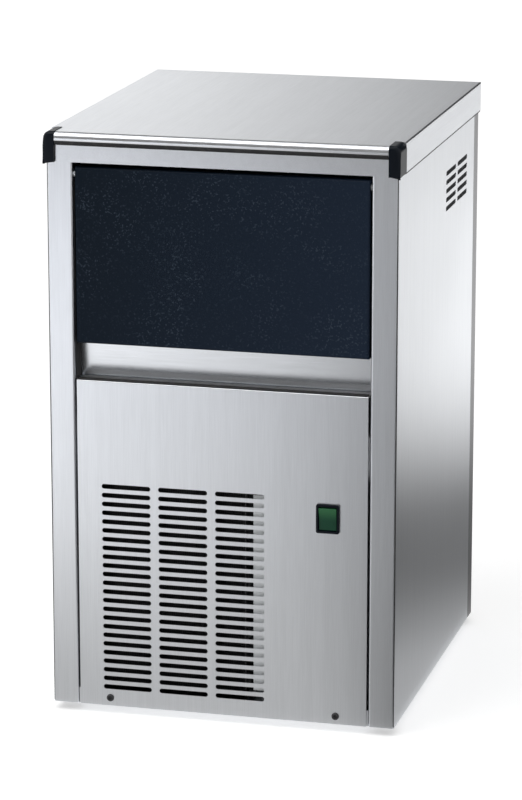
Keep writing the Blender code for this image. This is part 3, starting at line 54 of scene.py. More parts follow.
# Sizes in metres
gauge = 0.0012
seam = 0.0003
tiny = 0.00005
fine_edge = 0.0002
body_half = 0.175
opening_half = 0.149
face = -0.197
panel_back = face + gauge
return_back = -0.175
cover_start = -0.1727
cover_bottom = 0.560
deck_top = 0.2982
duct = 0.1703
pipe_over = 0.5697
slot_length = 0.050
slot_width = 0.0048
punch_reach = 0.005
column_pitch = 0.058
row_pitch = 0.00905
pin_bore = 0.0043
pin_place = Vector((0, -0.189, 0.5475))
rocker_pivot = Vector((0.1075, -0.194, 0.2186))
sides = (("left", -1), ("right", 1))
inlet_x = sum(corner.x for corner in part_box("water_inlet_valve")) / 2
inlet_z = 0.088
drain_x = -0.055
drain_y = 0.1363
drain_z = 0.048
drain_bore = 0.0065
gland_x = sum(corner.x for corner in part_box("cord_gland")) / 2
gland_z = 0.073
cup_first = Vector((-0.0283, 0.0432, 0))
cup_pitch = 0.036
coil_left = -0.0488
coil_right = 0.1362
coil_z = 0.5547
drier_place = Vector((-0.1493, -0.1588, 0.0895))
pot_place = Vector((0.088, 0.0653, 0.0248))
valve_place = Vector((-0.006, 0.1193, 0.235))
pump_axis = (-0.0928, 0.0797)
fan_place = Vector((-0.057, -0.1158, 0.127))


# Selecting
def only(piece):
    bpy.ops.object.select_all(action="DESELECT")
    piece.select_set(True)
    bpy.context.view_layer.objects.active = piece


def corners(part):
    return [part] if isinstance(part, bmesh.types.BMVert) else list(part.verts)


def pick(piece, kind, wanted):
    """Selects the vertices, edges or faces of the open piece that pass a test."""
    bpy.ops.mesh.select_mode(type=kind)
    bpy.ops.mesh.select_all(action="DESELECT")
    mesh = bmesh.from_edit_mesh(piece.data)
    mesh.normal_update()
    for part in {"VERT": mesh.verts, "EDGE": mesh.edges, "FACE": mesh.faces}[kind]:
        if wanted(part):
            part.select_set(True)
    bmesh.update_edit_mesh(piece.data)


@contextmanager
def opened(piece, kind="VERT", wanted=lambda part: True):
    """Edit mode on one piece, with the parts that pass a test selected."""
    only(piece)
    bpy.ops.object.mode_set(mode="EDIT")
    pick(piece, kind, wanted)
    yield
    bpy.ops.object.mode_set(mode="OBJECT")


def inside(low, high):
    """Parts that lie between two corners."""

    def within(place):
        return all(low[i] - tiny <= place[i] <= high[i] + tiny for i in range(3))

    return lambda part: all(within(corner.co) for corner in corners(part))


def level(axis, value):
    """Parts that lie in one plane."""
    return lambda part: all(abs(c.co[axis] - value) < tiny for c in corners(part))


def both(first, second):
    return lambda part: first(part) and second(part)


def any_of(*tests):
    return lambda part: any(test(part) for test in tests)


def facing(way):
    return lambda part: part.normal.dot(Vector(way)) > 0.9


def runs(axis):
    """Edges that run along an axis."""
    return lambda edge: abs(edge.verts[0].co[axis] - edge.verts[1].co[axis]) > tiny


def between_faces(edge):
    return len(edge.link_faces) == 2


def fold(first, second):
    """Edges between a face that looks one way and a face that looks the other."""
    ways = (Vector(first), Vector(second))

    def wanted(edge):
        if not between_faces(edge):
            return False
        here, there = (near.normal for near in edge.link_faces)
        return any(here.dot(a) > 0.9 and there.dot(b) > 0.9 for a, b in (ways, ways[::-1]))

    return wanted


# What is done to the selected parts of the open piece
def pick_all():
    bpy.ops.mesh.select_all(action="SELECT")


def round_off(width, steps):
    bpy.ops.mesh.bevel(offset=width, segments=steps, profile=0.5, affect="EDGES")


def pull_edges(step):
    bpy.ops.mesh.extrude_edges_move(TRANSFORM_OT_translate={"value": step})


def recess(rim, depth):
    """Sinks the selected faces backwards inside a rim."""
    bpy.ops.mesh.inset(thickness=rim, depth=0)
    bpy.ops.mesh.extrude_region_move(TRANSFORM_OT_translate={"value": (0, depth, 0)})


def face_outward():
    bpy.ops.mesh.normals_make_consistent(inside=False)


def weld(gap=0.000001):
    bpy.ops.mesh.remove_doubles(threshold=gap)


# Whole pieces
def linked(name, data):
    """A new object in the scene."""
    piece = bpy.data.objects.new(name, data)
    bpy.context.scene.collection.objects.link(piece)
    return piece


def settle(piece):
    """Puts the piece's place, turn and scale into its mesh."""
    only(piece)
    bpy.ops.object.transform_apply(location=True, rotation=True, scale=True)
    return piece


def modify(piece, kind, **settings):
    """Puts one modifier on the piece and applies it."""
    only(piece)
    modifier = piece.modifiers.new(kind.lower(), kind)
    for name, value in settings.items():
        setattr(modifier, name, value)
    bpy.ops.object.modifier_apply(modifier=modifier.name)
    return piece


def repeated(piece, count, step):
    """A row of the same shape, a step apart."""
    row = {"use_relative_offset": False, "use_constant_offset": True, "constant_offset_displace": step}
    return modify(piece, "ARRAY", count=count, **row)


def thicken(piece, thickness=gauge):
    return modify(piece, "SOLIDIFY", thickness=thickness, offset=-1, use_even_offset=True)


def ease(piece, width=fine_edge, steps=2, angle=35):
    """Rounds every edge that is sharper than the angle."""
    limit = {"limit_method": "ANGLE", "angle_limit": math.radians(angle), "miter_outer": "MITER_ARC"}
    return modify(piece, "BEVEL", width=width, segments=steps, **limit)


def smooth(piece, angle=40):
    """Smooth shading that keeps flat faces flat."""
    only(piece)
    bpy.ops.object.shade_smooth_by_angle(angle=math.radians(angle))
    return modify(piece, "WEIGHTED_NORMAL", keep_sharp=True, weight=80)


def cut(piece, *tools):
    for tool in tools:
        modify(piece, "BOOLEAN", operation="DIFFERENCE", solver="EXACT", object=tool)
        bpy.data.objects.remove(tool)
    return piece


def add(kind, name, **size):
    bpy.ops.object.select_all(action="DESELECT")
    getattr(bpy.ops.mesh, f"primitive_{kind}_add")(**size)
    piece = bpy.context.object
    piece.name = name
    return piece


def block(name, first, second):
    """A box between two opposite corners."""
    first = Vector(first)
    second = Vector(second)
    piece = add("cube", name, size=1, location=(first + second) / 2)
    piece.scale = [abs(reach) for reach in second - first]
    return settle(piece)


def bar(name, start, along, radius, length, edges=32, tip=None):
    """A round bar or cone from its start along a direction."""
    along = Vector(along).normalized()
    middle = Vector(start) + along * length / 2
    if tip is None:
        piece = add("cylinder", name, vertices=edges, radius=radius, depth=length, location=middle)
    else:
        piece = add("cone", name, vertices=edges, radius1=radius, radius2=tip, depth=length, location=middle)
    piece.rotation_euler = along.to_track_quat("Z", "Y").to_euler()
    return settle(piece)


def holed(piece, *drills):
    """Cuts round holes, each given as start, direction, radius and length."""
    for start, way, radius, length in drills:
        cut(piece, bar("drill", start, way, radius, length, 40))
    return piece


def turned(name, profile, place, along=(0, 0, 1), steps=48):
    """A piece turned on a lathe: its profile of (radius, height) is spun about its axis."""
    piece = add("plane", name, size=0.01)
    with opened(piece):
        bpy.ops.mesh.merge(type="CENTER")
        bpy.ops.transform.translate(value=(profile[0][0], 0, profile[0][1]))
        for here, there in zip(profile, profile[1:]):
            step = (there[0] - here[0], 0, there[1] - here[1])
            bpy.ops.mesh.extrude_vertices_move(TRANSFORM_OT_translate={"value": step})
        pick_all()
        bpy.ops.mesh.spin(steps=steps, angle=2 * math.pi, center=(0, 0, 0), axis=(0, 0, 1))
        pick_all()
        weld()
        face_outward()
    turn = Vector(along).to_track_quat("Z", "Y").to_matrix().to_4x4()
    piece.matrix_world = Matrix.Translation(Vector(place)) @ turn
    return settle(piece)


planes = {"xy": (0, 1, 2), "yz": (1, 2, 0)}


def placed(plane, point, run):
    place = Vector((0, 0, 0))
    for axis, value in zip(planes[plane], (*point, run)):
        place[axis] = value
    return place


def folded(name, plane, profile, run, outward, bend=0.002, steps=4, thickness=gauge):
    """Sheet metal: each wall is extruded from the last, the folds are rounded, the gauge goes inwards."""
    start = placed(plane, profile[0], run[0])
    along = placed(plane, profile[1], run[0]) - start
    across = placed(plane, profile[0], run[1]) - start
    middle = start + (along + across) / 2
    sheet = add("plane", name, size=1)
    basis = Matrix((along, across, along.cross(across).normalized())).transposed().to_4x4()
    sheet.matrix_world = Matrix.Translation(middle) @ basis
    settle(sheet)
    first, second, _ = planes[plane]

    def on_point(point):
        return both(level(first, point[0]), level(second, point[1]))

    with opened(sheet, "EDGE", on_point(profile[1])):
        for here, there in zip(profile[1:], profile[2:]):
            pull_edges(placed(plane, there, 0) - placed(plane, here, 0))
        pick_all()
        face_outward()
        mesh = bmesh.from_edit_mesh(sheet.data)
        first_wall = next(wall for wall in mesh.faces if (wall.calc_center_median() - middle).length < tiny)
        if first_wall.normal.dot(Vector(outward)) < 0:
            bpy.ops.mesh.flip_normals()
        pick(sheet, "EDGE", any_of(*(on_point(point) for point in profile[1:-1])))
        round_off(bend, steps)
    return thicken(sheet, thickness)


def slots(name, middle, long_way, row_way, through, columns, rows):
    """A field of round-ended punches, one shaped and the rest repeated from it."""
    half = Vector((0, 0, 0))
    half[long_way] = slot_length / 2
    half[row_way] = slot_width / 2
    half[through] = punch_reach
    punch = block(name, Vector(middle) - half, Vector(middle) + half)
    with opened(punch, "EDGE", runs(through)):
        round_off(slot_width * 0.499, 6)
    for way, count, pitch in ((long_way, columns, column_pitch), (row_way, rows, row_pitch)):
        step = Vector((0, 0, 0))
        step[way] = pitch
        repeated(punch, count, step)
    return punch


def rounded(points, bend, steps=6):
    """A route with its corners turned into arcs."""
    points = [Vector(point) for point in points]
    route = [points[0]]
    for before, corner, after in zip(points, points[1:], points[2:]):
        along = (corner - before).normalized()
        onward = (after - corner).normalized()
        turn = along.angle(onward)
        room = min((corner - before).length, (after - corner).length) * 0.49
        reach = min(bend * math.tan(turn / 2), room)
        radius = reach / math.tan(turn / 2)
        inward = (onward - along * onward.dot(along)).normalized()
        centre = corner - along * reach + inward * radius
        for step in range(steps + 1):
            angle = turn * step / steps
            route.append(centre - inward * radius * math.cos(angle) + along * radius * math.sin(angle))
    route.append(points[-1])
    return route


def piped(name, points, radius, bend, fineness=4):
    """A pipe along a route, swept from a curve."""
    curve = bpy.data.curves.new(name, "CURVE")
    curve.dimensions = "3D"
    curve.bevel_depth = radius
    curve.bevel_resolution = fineness
    curve.use_fill_caps = True
    route = rounded(points, bend)
    spline = curve.splines.new("POLY")
    spline.points.add(len(route) - 1)
    for point, place in zip(spline.points, route):
        point.co = (*place, 1)
    piece = linked(name, curve)
    only(piece)
    bpy.ops.object.convert(target="MESH")
    with opened(piece):
        weld()
    return piece


def serpentine(ends, rows, row_place):
    """A route to and fro between two ends. Each row's place gives its y and z."""
    route = []
    for row in range(rows):
        route += [(x, *row_place(row)) for x in (ends[::-1] if row % 2 else ends)]
    return route


def copied(piece, name, shift=(0, 0, 0), mirrored=False):
    """Another of the same piece with its own mesh, moved or mirrored."""
    twin = linked(name, piece.data.copy())
    twin.location = shift
    twin.scale.x = -1 if mirrored else 1
    settle(twin)
    if mirrored:
        with opened(twin, "FACE"):
            face_outward()
    return twin


def at_each_cup(piece):
    """The same piece at each of the fifteen cups, in place of the first."""
    places = [(column * cup_pitch, row * cup_pitch, 0) for column in range(5) for row in range(3)]
    copies = [copied(piece, piece.name, place) for place in places]
    bpy.data.objects.remove(piece)
    return copies


def joined(name, *pieces):
    """One object of several shapes."""
    only(pieces[0])
    for piece in pieces:
        piece.select_set(True)
    bpy.ops.object.join()
    pieces[0].name = name
    return pieces[0]


def refined(node):
    """A copy of a node's solid, its flat faces made whole and its edges eased."""
    piece = linked(f"{node}_finished", nodes[node].data.copy())
    only(piece)
    bpy.ops.mesh.customdata_custom_splitnormals_clear()
    with opened(piece):
        weld(0.00001)
        bpy.ops.mesh.dissolve_limited(angle_limit=math.radians(1))
    return ease(piece, steps=1)


def attach(piece, finish, node, crease=40):
    """Smooths a piece, gives it its finish, and lets it ride with the node that carries it."""
    smooth(piece, crease)
    piece.data.materials.clear()
    piece.data.materials.append(finish)
    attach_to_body(piece, body_of[node])
    return piece


def dress(piece, finish, node, crease=40):
    """Attaches a piece that stands for its whole node."""
    attach(piece, finish, node, crease)
    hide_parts(node)


# Finishes
class Value:
    """A number that changes over a surface. Arithmetic on it adds Math nodes."""

    def __init__(self, tree, socket):
        self.tree = tree
        self.socket = socket

    def math(self, operation, first, second):
        node = self.tree.nodes.new("ShaderNodeMath")
        node.operation = operation
        for socket, value in zip(node.inputs, (first, second)):
            connect(self.tree, value, socket)
        return Value(self.tree, node.outputs[0])

    def __add__(self, other):
        return self.math("ADD", self, other)

    def __rsub__(self, other):
        return self.math("SUBTRACT", other, self)

    def __mul__(self, other):
        return self.math("MULTIPLY", self, other)

    __radd__ = __add__
    __rmul__ = __mul__


def connect(tree, value, socket):
    if isinstance(value, Value):
        tree.links.new(value.socket, socket)
    else:
        socket.default_value = value


class Finish:
    """A material and the nodes that feed its shader."""

    def __init__(self, name, colour, roughness, metallic=0.0, **constants):
        self.material = bpy.data.materials.new(name)
        self.material.use_nodes = True
        self.tree = self.material.node_tree
        self.shader = self.tree.nodes["Principled BSDF"]
        self.colour = (*colour, 1)
        self.set(Base_Color=self.colour, Roughness=roughness, Metallic=metallic, **constants)
        self.place = self.node("TexCoord", {}, {}, "Object")

    def node(self, kind, settings, sockets, output=0):
        node = self.tree.nodes.new(f"ShaderNode{kind}")
        for name, value in settings.items():
            setattr(node, name, value)
        for name, value in sockets.items():
            connect(self.tree, value, node.inputs[name])
        return Value(self.tree, node.outputs[output])

    def set(self, **sockets):
        for name, value in sockets.items():
            connect(self.tree, value, self.shader.inputs[name.replace("_", " ")])

    def scaled(self, scale):
        return self.node("Mapping", {}, {"Vector": self.place, "Scale": scale})

    def noise(self, scale, detail=2.0, stretch=(1, 1, 1)):
        """Mottling with so many spots to the metre, stretched along an axis by a smaller share."""
        where = self.scaled(stretch)
        return self.node("TexNoise", {}, {"Vector": where, "Scale": scale, "Detail": detail})

    def cells(self, scale):
        return self.node("TexVoronoi", {}, {"Vector": self.place, "Scale": scale})

    def along(self, way):
        """How far a point lies along a direction, in metres."""
        return self.node("VectorMath", {"operation": "DOT_PRODUCT"}, {0: self.place, 1: way}, "Value")

    def step_line(self, value, low, high):
        """A straight ramp: 0 at low, 1 at high."""
        return self.node("MapRange", {}, {"Value": value, "From Min": low, "From Max": high})

    def step(self, value, low, high):
        """A soft mask: 0 below low, 1 above high."""
        sockets = {"Value": value, "From Min": low, "From Max": high}
        return self.node("MapRange", {"interpolation_type": "SMOOTHSTEP"}, sockets)

    def mix(self, mask, first, second):
        sockets = {0: mask, 6: first, 7: second}
        return self.node("Mix", {"data_type": "RGBA"}, sockets, 2)

    def shade(self, mask, light):
        """The finish's own colour, made lighter or darker where the mask is 1."""
        other = (*(min(1, channel * light) for channel in self.colour[:3]), 1)
        return self.mix(mask, self.colour, other)

    def blotch(self, mask, colour):
        """The finish's own colour, and another where the mask is 1."""
        self.set(Base_Color=self.mix(mask, self.colour, (*colour, 1)))

    def bump(self, height, depth, strength=1.0):
        sockets = {"Height": height, "Distance": depth, "Strength": strength}
        self.set(Normal=self.node("Bump", {}, sockets))


def satin_steel(name, tone, way, roughness=0.3):
    """Satin stainless sheet whose fine grain runs along one axis."""
    finish = Finish(name, tone, roughness, 1.0)
    stretch = [1.0, 1.0, 1.0]
    stretch[way] = 0.02
    fine = finish.noise(1400, 2, stretch)
    streaks = finish.noise(160, 3, stretch)
    clouds = finish.noise(6, 2)
    finish.set(Roughness=roughness - 0.05 + fine * 0.06 + clouds * 0.04)
    finish.set(Base_Color=finish.shade(finish.step(fine * 0.6 + streaks * 0.4, 0.3, 0.7), 0.93))
    finish.bump(fine * 0.7 + streaks * 0.3, 0.000006, 0.5)
    return finish.material


def moulded(name, colour, roughness, grain=900, depth=0.00002, **constants):
    """Moulded plastic with a fine matt grain."""
    finish = Finish(name, colour, roughness, **constants)
    spots = finish.noise(grain, 2)
    clouds = finish.noise(25, 2)
    finish.set(Roughness=roughness - 0.05 + spots * 0.06 + clouds * 0.04)
    finish.set(Base_Color=finish.shade(finish.step(clouds, 0.35, 0.65), 1.12))
    finish.bump(spots, depth, 0.5)
    return finish.material


def door_plastic():
    """Navy acrylic, pebbled, with painted light that makes it lighter towards the right and the bottom, and
    painted glints: lighter specks in clusters.
    """
    finish = Finish("door_navy", (0.0032, 0.0085, 0.0165), 0.42, Specular_IOR_Level=0.1)
    pebbles = finish.cells(620)
    specks = finish.noise(520, 3)
    clusters = finish.step(finish.noise(16, 3), 0.42, 0.62)
    # Painted light: the navy grows lighter towards the right and the bottom.
    across = finish.step_line(finish.along((1, 0, -0.25)), -0.28, 0.06)
    painted_light_ground = finish.mix(across, finish.colour, (0.0125, 0.0225, 0.0425, 1))
    # Painted glints: lighter specks, gathered in clusters, mixed into the base colour.
    painted_glints = finish.step(specks, 0.56, 0.68) * (0.18 + clusters * 0.5)
    finish.set(Base_Color=finish.mix(painted_glints, painted_light_ground, (0.045, 0.062, 0.088, 1)))
    finish.set(Roughness=0.36 + specks * 0.14)
    finish.bump(pebbles * 0.6 + specks * 0.4, 0.00016, 0.55)
    return finish.material


def zinc_sheet():
    """Galvanised sheet with its dull spangle."""
    finish = Finish("zinc_sheet", (0.55, 0.57, 0.6), 0.42, 1.0)
    finish.blotch(finish.step(finish.noise(60), 0.3, 0.7), (0.42, 0.44, 0.47))
    finish.set(Roughness=0.34 + finish.cells(140) * 0.22)
    finish.bump(finish.noise(300, 3), 0.00001, 0.4)
    return finish.material


def drawn_metal(name, colour, dull, roughness):
    """Drawn or cast metal with dull, oxidised patches."""
    finish = Finish(name, colour, roughness, 1.0)
    patches = finish.noise(45, 4)
    scratches = finish.noise(500, 2, (1, 1, 0.1))
    finish.blotch(finish.step(patches, 0.42, 0.68), dull)
    finish.set(Roughness=roughness - 0.04 + patches * 0.16 + scratches * 0.06)
    finish.bump(scratches, 0.00001, 0.4)
    return finish.material


def cast_enamel(name, colour, roughness):
    """Black stove enamel with a slight orange peel."""
    finish = Finish(name, colour, roughness, 0.0, Coat_Weight=0.35, Coat_Roughness=0.2)
    peel = finish.noise(420, 2)
    dust = finish.step(finish.noise(30, 4), 0.5, 0.75)
    finish.blotch(dust * 0.35, (0.06, 0.058, 0.054))
    finish.set(Roughness=roughness + dust * 0.15)
    finish.bump(peel, 0.00005, 0.4)
    return finish.material


def black_foam():
    finish = Finish("black_foam", (0.02, 0.021, 0.023), 0.9)
    bubbles = finish.cells(700)
    clouds = finish.noise(35, 3)
    finish.blotch(finish.step(clouds, 0.35, 0.7), (0.035, 0.036, 0.038))
    finish.bump(bubbles, 0.0004, 0.6)
    return finish.material


def black_rubber():
    finish = Finish("black_rubber", (0.018, 0.018, 0.019), 0.75)
    dust = finish.noise(240, 3)
    finish.blotch(finish.step(dust, 0.5, 0.7), (0.034, 0.033, 0.032))
    finish.bump(dust, 0.00006, 0.6)
    return finish.material


def green_glass():
    """The switch's green lens, with painted shade that makes it darker low down, and fine moulded ribs."""
    finish = Finish("green_lens", (0.012, 0.13, 0.045), 0.2, 0.0, Specular_IOR_Level=0.3)
    height = finish.node("SeparateXYZ", {}, {0: finish.place}, 2)
    # Painted shade: the lens is darker below the pivot.
    lower = 1 - finish.step(height, rocker_pivot.z - 0.003, rocker_pivot.z + 0.010)
    finish.set(Base_Color=finish.mix(lower, (0.03, 0.15, 0.058, 1), (0.004, 0.058, 0.028, 1)))
    wave = finish.node("TexWave", {"bands_direction": "X"}, {"Vector": finish.place, "Scale": 260.0}, 1)
    finish.bump(wave, 0.00005, 0.35)
    return finish.material


def clear_sheet():
    """Clear flexible vinyl, faintly blue, for the flaps."""
    finish = Finish("clear_vinyl", (0.82, 0.9, 0.94), 0.12, 0.0, IOR=1.4)
    haze = finish.noise(40, 3)
    finish.set(Alpha=0.34 + haze * 0.2, Roughness=0.08 + haze * 0.12)
    finish.bump(finish.noise(120, 2), 0.00005, 0.3)
    return finish.material


steel_tone = (0.765, 0.785, 0.815)
steel_up = satin_steel("satin_steel_upright", steel_tone, 2)
steel_across = satin_steel("satin_steel_across", (0.79, 0.81, 0.84), 0, 0.24)
steel_back = satin_steel("satin_steel_front_to_back", steel_tone, 1)
channel_steel = satin_steel("channel_steel", (0.33, 0.33, 0.34), 2, 0.4)
zinc = zinc_sheet()
navy = door_plastic()
cap_plastic = moulded("cap_black", (0.004, 0.0065, 0.011), 0.36, 1200, 0.00001, Specular_IOR_Level=0.12)
dark_plastic = moulded("matt_black", (0.02, 0.02, 0.022), 0.5)
white_plastic = moulded("white_moulding", (0.83, 0.85, 0.86), 0.34, 700, 0.00001)
grey_plastic = moulded("grey_moulding", (0.36, 0.38, 0.4), 0.45, 700, 0.00001)
enamel = cast_enamel("black_enamel", (0.016, 0.016, 0.018), 0.35)
copper = drawn_metal("drawn_copper", (0.78, 0.36, 0.2), (0.46, 0.2, 0.12), 0.24)
tinned = drawn_metal("tinned_copper", (0.66, 0.66, 0.66), (0.5, 0.49, 0.47), 0.26)
aluminium = drawn_metal("pressed_aluminium", (0.72, 0.73, 0.75), (0.6, 0.61, 0.63), 0.32)
brass = drawn_metal("cast_brass", (0.7, 0.52, 0.22), (0.48, 0.35, 0.15), 0.3)
foam = black_foam()
rubber = black_rubber()
lens = green_glass()
clear = clear_sheet()
finish_of_slot = {
    "steel": steel_up,
    "channel_steel": channel_steel,
    "galvanised": zinc,
    "navy_plastic": navy,
    "black_plastic": dark_plastic,
    "black_steel": enamel,
    "green_lens": lens,
    "white_plastic": white_plastic,
    "grey_plastic": grey_plastic,
    "foam": foam,
    "rubber": rubber,
    "copper": copper,
    "tinned_copper": tinned,
    "aluminium": aluminium,
    "brass": brass,
    "clear_plastic": clear,
}


# Casing
def make_side_panel(word, side):
    node = f"side_panel_{word}"
    low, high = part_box(node)
    opening = side * opening_half
    outside = side * body_half
    profile = [(opening, return_back), (opening, face), (outside, face), (outside, high.y)]
    panel = folded(f"{node}_sheet", "xy", profile, (low.z, high.z), (-side, 0, 0))
    pin_start = (side * (opening_half - 0.003), pin_place.y, pin_place.z)
    cut(panel, bar("pin_drill", pin_start, (side, 0, 0), pin_bore, 0.008))
    cut(panel, block("cap_notch", (side * 0.168, -0.2, 0.5837), (side * 0.177, cover_start, 0.6)))
    if side > 0:
        cut(panel, slots("side_vents", (body_half, 0.057, 0.4854), 1, 2, 0, 2, 5))
    dress(ease(panel), steel_up, node)


def make_cover():
    _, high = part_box("top_cover")
    front_half = 0.1657
    roll = Vector((0, -0.196, 0.5835))
    roll_radius = 0.006
    band = -0.1987
    past_quarter = math.acos((roll.y - band) / roll_radius)
    roll_end = roll.z - roll_radius * math.sin(past_quarter)
    sheet = add("plane", "top_cover_sheet", size=1, location=(0, (cover_start + high.y) / 2, high.z))
    sheet.scale = (2 * high.x, high.y - cover_start, 1)
    settle(sheet)
    with opened(sheet):
        for x in (-front_half, front_half):
            pick_all()
            bpy.ops.mesh.bisect(plane_co=(x, 0, 0), plane_no=(1, 0, 0))
        pick(sheet, "EDGE", any_of(level(0, high.x), level(0, -high.x), level(1, high.y)))
        pull_edges((0, 0, cover_bottom - high.z))
        tongue = inside((-front_half, cover_start, high.z), (front_half, cover_start, high.z))
        pick(sheet, "EDGE", tongue)
        pull_edges((0, roll.y - cover_start, 0))
        bpy.ops.mesh.spin(steps=18, angle=math.pi / 2 + past_quarter, center=roll, axis=(-1, 0, 0))
        pick(sheet, "EDGE", both(level(1, band), level(2, roll_end)))
        pull_edges((0, 0, cover_bottom - roll_end))
        pick_all()
        weld()
        face_outward()
        mesh = bmesh.from_edit_mesh(sheet.data)
        top = max(mesh.faces, key=lambda part: part.calc_area())
        if top.normal.z < 0:
            bpy.ops.mesh.flip_normals()
        for way in ((-1, 0, 0), (1, 0, 0), (0, 1, 0)):
            pick(sheet, "EDGE", fold((0, 0, 1), way))
            round_off(0.0016, 4)
        for side in (-1, 1):
            pick(sheet, "EDGE", fold((0, 1, 0), (side, 0, 0)))
            round_off(0.0012, 3)
    dress(ease(thicken(sheet)), steel_back, "top_cover", 30)


def make_caps():
    low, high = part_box("corner_cap_right")
    crown = 0.007
    cap = block("corner_cap_right_moulding", low, high)

    def front_of_crown(edge):
        return level(1, low.y)(edge) and min(c.co.z for c in corners(edge)) > high.z - crown - 0.0005

    with opened(cap, "EDGE", fold((1, 0, 0), (0, 0, 1))):
        round_off(crown, 10)
        pick(cap, "EDGE", front_of_crown)
        round_off(0.004, 6)
        pick(cap, "EDGE", fold((0, -1, 0), (1, 0, 0)))
        round_off(0.0015, 4)
        pick(cap, "FACE", any_of(facing((0, 0, -1)), facing((0, 1, 0)), facing((-1, 0, 0))))
        bpy.ops.mesh.delete(type="FACE")
    ease(thicken(cap, 0.002), 0.0003)
    twin = copied(cap, "corner_cap_left_moulding", mirrored=True)
    dress(cap, cap_plastic, "corner_cap_right")
    dress(twin, cap_plastic, "corner_cap_left")


def make_lower_panel():
    low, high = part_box("lower_front_panel")
    screw_x = 0.1158
    screw_z = 0.0162
    profile = [(return_back, high.z - 0.010), (return_back, high.z), (face, high.z), (face, low.z)]
    panel = folded("lower_front_sheet", "yz", profile, (low.x, high.x), (0, 1, 0), 0.001, 4)
    cut(panel, slots("grille", (-0.0976, face, 0.0278), 0, 2, 1, 3, 24))
    half = Vector((0.01045, 0.004, 0.0134))
    centre = Vector((rocker_pivot.x, face, rocker_pivot.z))
    cut(panel, block("switch_cutout", centre - half, centre + half))
    for side in (-1, 1):
        cut(panel, bar("screw_drill", (side * screw_x, face - 0.003, screw_z), (0, 1, 0), 0.0023, 0.008))
    ease(panel, 0.00022, 2, 50)
    returns = []
    for side in (-1, 1):
        near = (side * (high.x - 0.0001), panel_back, 0.026)
        far = (side * (high.x - gauge), face + 0.016, high.z - 0.0035)
        returns.append(ease(block("panel_return", near, far)))
    dress(joined("lower_front_sheet", panel, *returns), steel_up, "lower_front_panel", 30)


def make_shade_strips():
    """Thin black strips put where there is only shade, as painted shade: under the cover and its roll,
    beside the door, on the ledge, up the corners.
    """
    low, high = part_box("lower_front_panel")
    _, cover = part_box("top_cover")
    clear_of = 0.0001
    lip = 0.0017
    # Painted shade: a black strip under each side of the cover, and one up each side of the door opening.
    for word, side in sides:
        start = (side * (body_half + clear_of), -0.172, cover_bottom - lip)
        end = (side * (cover.x - 0.0004), cover.y - gauge, cover_bottom)
        attach(ease(block(f"cover_shade_strip_{word}", start, end), 0.0003), rubber, "top_cover")
        start = (side * (opening_half - clear_of), -0.1925, high.z + seam)
        end = (side * (opening_half - 0.0007), -0.1758, 0.5420)
        attach(ease(block(f"opening_shade_strip_{word}", start, end)), rubber, f"side_panel_{word}")
    # Painted shade: a black strip on the ledge under the door.
    start = (low.x + 0.001, -0.1956, high.z - clear_of)
    end = (high.x - 0.001, -0.1885, high.z + 0.0012)
    attach(ease(block("ledge_shade_strip", start, end), 0.0005, 3), rubber, "lower_front_panel")
    # Painted shade: a black rod under the cover's roll, darkening its lower half.
    roll_half = 0.1655
    roll_shade = bar("roll_shade_strip", (-roll_half, -0.1985, 0.5798), (1, 0, 0), 0.0033, 2 * roll_half, 24)
    attach(roll_shade, rubber, "top_cover")
    # Painted shade: a thin black line up each front corner.
    for word, side in sides:
        foot = (side * 0.17425, -0.19625, 0.0095)
        bead = bar(f"corner_shade_line_{word}", foot, (0, 0, 1), 0.00055, cover_bottom - 0.0105, 10)
        attach(bead, rubber, f"side_panel_{word}")


def make_screws():
    low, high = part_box("panel_screw_right")
    middle = (low + high) / 2
    back = face - seam
    profile = [(0, 0.002), (0.0012, 0.00197), (0.0024, 0.0018), (0.0033, 0.0013), (0.0037, 0.0006)]
    profile += [(0.00375, 0), (0.002, 0), (0.002, -0.008), (0, -0.008)]
    screw = turned("panel_screw_right_head", profile, (middle.x, back, middle.z), (0, -1, 0), 32)
    for across, up in ((0.0022, 0.0005), (0.0005, 0.0022)):
        front = (middle.x - across, low.y - 0.001, middle.z - up)
        deep = (middle.x + across, back - 0.0008, middle.z + up)
        cut(screw, block("driver_cross", front, deep))
    ease(screw, 0.00012, 2, 50)
    twin = copied(screw, "panel_screw_left_head", (-2 * middle.x, 0, 0))
    dress(screw, dark_plastic, "panel_screw_right")
    dress(twin, dark_plastic, "panel_screw_left")


def make_trim():
    low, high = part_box("bin_front_trim")
    back = -0.1507
    foot = -0.173
    ledge = 0.390
    profile = [(back, 0.380), (back, ledge), (-0.177, ledge), (foot, 0.343), (foot, 0.333)]
    trim = folded("bin_front_sheet", "yz", profile, (low.x, high.x), (0, 1, 0), 0.0012, 3)
    dress(ease(trim), steel_across, "bin_front_trim")


def make_door():
    low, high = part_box("door_panel")
    door = block("door_moulding", low, high)
    with opened(door, "FACE", facing((0, 1, 0))):
        bpy.ops.mesh.delete(type="FACE")
        pick(door, "EDGE", both(between_faces, level(1, low.y)))
        round_off(0.003, 6)
    thicken(door, 0.0025)
    for side in (-1, 1):
        start = (side * (high.x + 0.002), pin_place.y, pin_place.z)
        cut(door, bar("pin_bore", start, (-side, 0, 0), pin_bore, 0.0065))
    dress(ease(door, 0.0004), navy, "door_panel")


def make_switch():
    low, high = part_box("switch_housing")
    back = face - seam
    bezel = block("switch_bezel", low, (high.x, back, high.z))
    with opened(bezel, "EDGE", runs(1)):
        round_off(0.0018, 5)
        pick(bezel, "FACE", facing((0, -1, 0)))
        recess(0.0022, 0.0095)
        pick(bezel, "FACE", both(facing((0, 1, 0)), level(1, back)))
        recess(0.0014, high.y - back)
    dress(ease(bezel, 0.0005, 3, 50), cap_plastic, "switch_housing")


